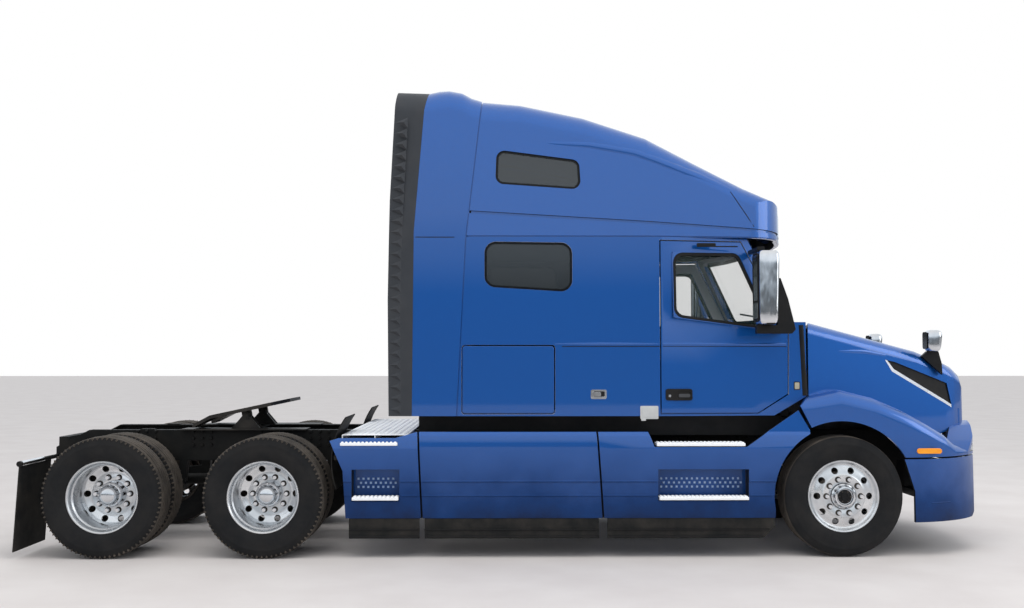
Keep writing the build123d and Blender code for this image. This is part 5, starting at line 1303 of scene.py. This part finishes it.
# %% Cowl markers, cover plate, sills over the door windows
cowl_x = -0.3525
for hand, side in hands:
    y = abs(side_line("cab_shell", [(cowl_x, 1.40), (cowl_x, 1.43)], side)[0][0].y)
    place = side_place(front_axle + cowl_x, 1.413, side, y)
    add_piece(f"cowl_frame_{hand}", plates(
        (place, 0.052, 0.068, 0.008, 0.006, {"sink": 0.003, "hole": (0.040, 0.056, 0.006)}),
    ), "black_plastic", "chassis", bevel=0.001)
    lens = plates((place, 0.042, 0.058, 0.008, 0.004, {}))
    add_piece(f"cowl_lens_{hand}", lens, "pearl_lens", "chassis", bevel=0.001)
    lens_top = side_place(front_axle + cowl_x, 1.413, side, y + 0.004)
    add_data(f"cowl_grid_{hand}", studs(
        "grid", "pearl_lens", [lens_top], Columns=4, Rows=6, Width=0.028, Height=0.044, Sides=4, Foot=0.0032,
        Tip=0.0016, Length=0.003,
    ), "chassis")
    add_piece(f"door_sill_{hand}", plates(
        (side_place(front_axle - 1.130, 2.590, side), 0.160, 0.032, 0.010, 0.012, {}),
        (side_place(front_axle - 0.960, 2.578, side), 0.190, 0.010, 0.004, 0.007, {}),
    ), "black_plastic", f"door_{hand}", bevel=0.002)
cover = side_place(front_axle - 1.615, 1.195, -1)
add_piece("cover_plate", plates(
    (cover, 0.150, 0.108, 0.008, 0.005, {}), (cover, 0.118, 0.076, 0.006, 0.0075, {"sink": 0.0}),
    (cover, 0.040, 0.018, 0.006, 0.005, {"shift": (-0.048, -0.060)}),
), "cover_grey", "chassis", bevel=0.0015)

# %% Amber markers
low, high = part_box("marker_lamps")
depth = 0.016
for hand, side in hands:
    place = side_place((low[0] + high[0]) / 2, (low[2] + high[2]) / 2, side, high[1] - depth)
    lamp = plates((place, high[0] - low[0], high[2] - low[2], 0.0215, depth, {"sink": 0.010}))
    nodes = ["marker_lamps"] if side < 0 else []
    add_piece(f"side_marker_{hand}", lamp, "amber_lens", "hood", *nodes, bevel=0.005)


def front_place(node, y, z):
    """Matrix of a plate that lies on the front of a node, wherever it leans."""
    spot, normal = hit(node, (5.0, y, z), (-1, 0, 0), 6.0)
    across = Vector((0, 0, 1)).cross(normal).normalized()
    return place_of(across, normal.cross(across), normal, spot)


add_piece("roof_markers", plates(*(
    (front_place("roof_cap", y, 3.02), 0.110, 0.034, 0.016, 0.010, {"sink": 0.006})
    for y in (-0.62, -0.34, 0.0, 0.34, 0.62)
)), "amber_lens", "chassis", bevel=0.004)

# %% Windscreen wipers
wipers = bmesh.new()
for side in (-1, 1):
    rays = [(side * (0.08 + 0.74 * k / 24), 1.99 + 0.10 * k / 24) for k in range(25)]
    met = [hit("cab_windows", (3.2, y, z), (-1, 0, 0)) for y, z in rays]
    spots = [(spot + normal * 0.010, normal) for spot, normal in met if spot is not None]
    add_thread(wipers, spots, 0.009, 0.0)
    joint, normal = spots[len(spots) // 2]
    foot = joint + Vector((0.16, side * -0.22, -0.16))
    add_thread(wipers, [(joint.lerp(foot, k / 6), normal) for k in range(7)], 0.008, 0.0)
close_up(wipers)
add_piece("wipers", wipers, "black_plastic", "chassis", angle=50)

# %% Lamps behind the clear lenses
bowls, bulbs = bmesh.new(), bmesh.new()
for y, z, radius in ((0.560, 0.912, 0.034), (0.640, 0.905, 0.030), (0.715, 0.896, 0.024)):
    for side in (-1, 1):
        place = front_place("headlamps", side * y, z)
        mouth = (1.5 * radius, 1.5 * radius, 0.74 * radius)
        add_plate(bowls, place, 2 * radius, 2 * radius, radius * 0.98, 0.003, hole=mouth)
        add_plate(bulbs, place, *mouth, 0.0015)
add_piece("lamp_bowls", bowls, "chrome_trim", "hood", bevel=0.001)
add_piece("lamp_bulbs", bulbs, "pane_border", "hood", bevel=0.0005)
fog_lenses = bmesh.new()
for side in (-1, 1):
    spot, _ = hit("fog_lamps", (5.0, side * 0.530, 0.7025), (-1, 0, 0))
    place = place_of((0, 1, 0), (0, 0, 1), (1, 0, 0), spot)
    add_plate(fog_lenses, place, 0.076, 0.076, 0.0375, 0.006)
    add_plate(fog_lenses, place, 0.040, 0.040, 0.0195, 0.010, sink=0.0)
add_piece("fog_lenses", fog_lenses, "pearl_lens", "chassis", bevel=0.002)

# %% [markdown]
# ## Seats and bunk
#
# Padding is not modelled by hand: the solid of a cushion is shrunk, given an even mesh, and blown up as
# cloth with a little pressure, which crowns its faces and pulls its sides in. How far a point may move is
# capped, so the cushion stays in its solid's room. Piping is laid on the finished shape afterwards.

# %% Woven finish


def make_weave(name, slot, colour, other, thread):
    """Cloth of two crossing threads, thread is their width in metres."""
    finish, tree, shader, place = start_finish(name, colour, 0.88)
    waves = [
        add_node(
            tree, "ShaderNodeTexWave", {"Vector": place, "Scale": 0.16 / thread, "Distortion": 0.4},
            bands_direction=direction,
        ).outputs["Fac"]
        for direction in ("X", "Z")
    ]
    weave = times(tree, *waves)
    patch = levels(tree, noise(tree, place, 9.0, 4.0), 0.3, 0.7, 0.2, 1.0)
    feed(shader, {"Base Color": blend(tree, times(tree, weave, patch), colour, other), "Sheen Weight": 0.25})
    add_bump(tree, shader, weave, 0.5, 0.0012)
    finish_of[name] = finish
    home_slot[finish.name] = slot


make_weave("seat_weave", "seat_fabric", tone(50, 54, 62), tone(84, 90, 100), 0.006)
make_weave("bunk_weave", "mattress_fabric", tone(128, 136, 150), tone(176, 182, 192), 0.008)
print("woven 2")

# %% Blow up a cushion
cloth_frames, furthest_move = 20, 0.016


def soften(piece):
    """Smooth a cushion once more."""
    finer = piece.modifiers.new("finer", "SUBSURF")
    finer.levels = finer.render_levels = 1


def cushion(name, solids, finish, node, voxel, shrink):
    """Cushion made of solids' triangles by a short cloth simulation; it stands for a node."""
    piece = add_object(name, bpy.data.meshes.new(name))
    solids.to_mesh(piece.data)
    solids.free()
    even = piece.modifiers.new("even", "REMESH")
    even.mode = "VOXEL"
    even.voxel_size = voxel
    thin = piece.modifiers.new("thin", "DISPLACE")
    thin.strength = -shrink
    thin.mid_level = 0.0
    start = evaluated(piece)
    piece.modifiers.clear()
    piece.data = start
    before = [vert.co.copy() for vert in start.vertices]
    cloth = piece.modifiers.new("pad", "CLOTH")
    cloth.settings.quality = 4
    cloth.settings.use_pressure = True
    cloth.settings.uniform_pressure_force = 4.0
    cloth.settings.effector_weights.gravity = 0.0
    cloth.collision_settings.use_collision = False
    for number in range(1, cloth_frames + 1):
        bpy.context.scene.frame_set(number)
    swollen = evaluated(piece)
    piece.modifiers.clear()
    piece.data = swollen
    bpy.context.scene.frame_set(1)
    for vert, origin in zip(swollen.vertices, before):
        way = vert.co - origin
        if way.length > furthest_move:
            vert.co = origin + way.normalized() * furthest_move
    piece.data.materials.clear()
    piece.data.materials.append(finish_of[finish])
    piece.data.shade_smooth()
    fit(piece, "chassis", home_slot[finish_of[finish].name], node)
    soften(piece)
    print(name, len(piece.data.vertices))
    return piece


def node_part(node, keep):
    """The closed solids of a node whose middle passes a test, as one mesh."""
    mesh = bmesh.new()
    mesh.from_mesh(frame["nodes"][node].data)
    bmesh.ops.remove_doubles(mesh, verts=mesh.verts, dist=2e-5)
    drop, seen = set(), set()
    for vert in mesh.verts:
        if vert in seen:
            continue
        island, queue = set(), [vert]
        while queue:
            spot = queue.pop()
            if spot not in island:
                island.add(spot)
                queue.extend(edge.other_vert(spot) for edge in spot.link_edges)
        seen |= island
        if not keep(sum((v.co for v in island), Vector()) / len(island)):
            drop |= island
    bmesh.ops.delete(mesh, geom=list(drop), context="VERTS")
    return mesh


mattress = node_part("bunk_mattress", lambda middle: True)
cushion("bunk_pad", mattress, "bunk_weave", "bunk_mattress", 0.020, 0.010)

# %% Seats
to_the_left = Matrix.Translation((0, 1.08, 0))
right_seat = node_part("seats", lambda middle: middle.y < 0)
seat = cushion("seat_right", right_seat, "seat_weave", "seats", 0.012, 0.009)
twin = add_object("seat_left", seat.data.copy())
twin.data.transform(to_the_left)
fit(twin, "chassis", "seat_fabric")
soften(twin)
print("seats 2")

# %% Piping and sewn channels on the seats
seat_search = search_tree(seat.data)
seat_x = front_axle - 1.400
near_side, far_side = -0.64, -0.44
lines = [((seat_x, near_side, z), (seat_x, far_side, z), Vector((1, 0, 0))) for z in (1.78, 1.95, 2.12)]
for y in (near_side, far_side):
    lines.append(((seat_x - 0.190, y, 1.75), (seat_x - 0.30, y, 2.30), Vector((1, 0, 0))))
    lines.append(((seat_x - 0.080, y, 1.70), (seat_x + 0.245, y, 1.70), Vector((0, 0, 1))))
piping = bmesh.new()
for start, end, out in lines:
    rays = [Vector(start).lerp(Vector(end), k / 16) + out * 0.4 for k in range(17)]
    met = [seat_search.ray_cast(ray, -out, 0.9)[:2] for ray in rays]
    spots = [(spot, normal) for spot, normal in met if spot is not None]
    if len(spots) > 2:
        add_thread(piping, spots, 0.0045, 0.0015)
left_piping = piping.copy()
left_piping.transform(to_the_left)
for name, mesh in (("seat_piping_right", piping), ("seat_piping_left", left_piping)):
    close_up(mesh)
    add_piece(name, mesh, "black_plastic", "chassis", angle=50)

# %% [markdown]
# ## Floor, light and camera
#
# A plain pale floor keeps the vehicle's shadow. The sky of the real yard is a broad pale light, so the
# world is a soft pale blue and two large lamps give the panels their long highlights. The camera stands
# ten metres off the passenger side at eye height, as the photograph was taken.

# %% Floor
floor = add_object("yard_floor", bpy.data.meshes.new("yard_floor"))
floor.data.from_pydata([(-60, -30, 0), (60, -30, 0), (60, 90, 0), (-60, 90, 0)], [], [(0, 1, 2, 3)])
floor_finish, tree, shader, place = start_finish("pale_floor", tone(204, 198, 196), 0.85)
mottle = levels(tree, noise(tree, place, 1.5, 6.0), 0.3, 0.7)
feed(shader, {"Base Color": blend(tree, mottle, tone(202, 196, 194), tone(210, 205, 203))})
floor.data.materials.append(floor_finish)
print("floor", tuple(floor.dimensions))

# %% World
sky_bands = (
    (0.0, (0.16, 0.17, 0.18)), (0.065, (0.14, 0.16, 0.18)), (0.10, (0.58, 0.66, 0.74)),
    (0.16, (0.96, 1.03, 1.10)), (1.0, (1.30, 1.36, 1.42)),
)
white = (1.0, 1.0, 1.0, 1.0)
world = bpy.data.worlds.new("pale_sky")
bpy.context.scene.world = world
world.use_nodes = True
tree = world.node_tree
ray = tree.nodes.new("ShaderNodeLightPath").outputs
seen = add_node(
    tree, "ShaderNodeMath", {0: ray["Is Camera Ray"], 1: ray["Is Transmission Ray"]}, operation="MAXIMUM",
)
direction = tree.nodes.new("ShaderNodeTexCoord").outputs["Generated"]
height = add_node(tree, "ShaderNodeSeparateXYZ", {0: direction}).outputs["Z"]
bands = add_node(tree, "ShaderNodeValToRGB", {"Fac": height})
stops = bands.color_ramp.elements
for level, colour in sky_bands:
    stops.new(level).color = (*colour, 1)
for spare in (stops[-1], stops[0]):
    stops.remove(spare)
feed(tree.nodes["Background"], {"Color": blend(tree, seen.outputs[0], bands.outputs["Color"], white)})
print("world", world.name)

# %% Lamps


def soft_lamp(name, place, aim, size, watts, colour=(1, 1, 1)):
    """A large lamp at a place, turned towards a point."""
    lamp = bpy.data.lights.new(name, "AREA")
    lamp.shape = "RECTANGLE"
    lamp.size, lamp.size_y = size
    lamp.energy = watts
    lamp.color = colour
    holder = add_object(name, lamp)
    holder.location = place
    holder.rotation_euler = (Vector(aim) - Vector(place)).to_track_quat("-Z", "Y").to_euler()
    return holder


sky_lamp = soft_lamp("sky_lamp", (1.0, -5.0, 11.0), (0, 0, 1.5), (12, 6), 620, (1.0, 0.98, 0.95))
sky_lamp.visible_glossy = False
soft_lamp("front_lamp", (12.0, -4.0, 5.0), (2, 0, 1.5), (6, 6), 200)
print("lamps 2")

# %% Camera
lens = bpy.data.cameras.new("yard_camera")
lens.sensor_width = 36.0
lens.lens = 37.2
camera = add_object("yard_camera", lens)
camera.location = (-0.1138, -10.0045, 1.6423)
camera.rotation_euler = (math.pi / 2 + 0.051442, 0.0, -0.009552)
bpy.context.scene.camera = camera
bpy.context.scene.view_settings.view_transform = "Standard"
print("camera", tuple(camera.location))
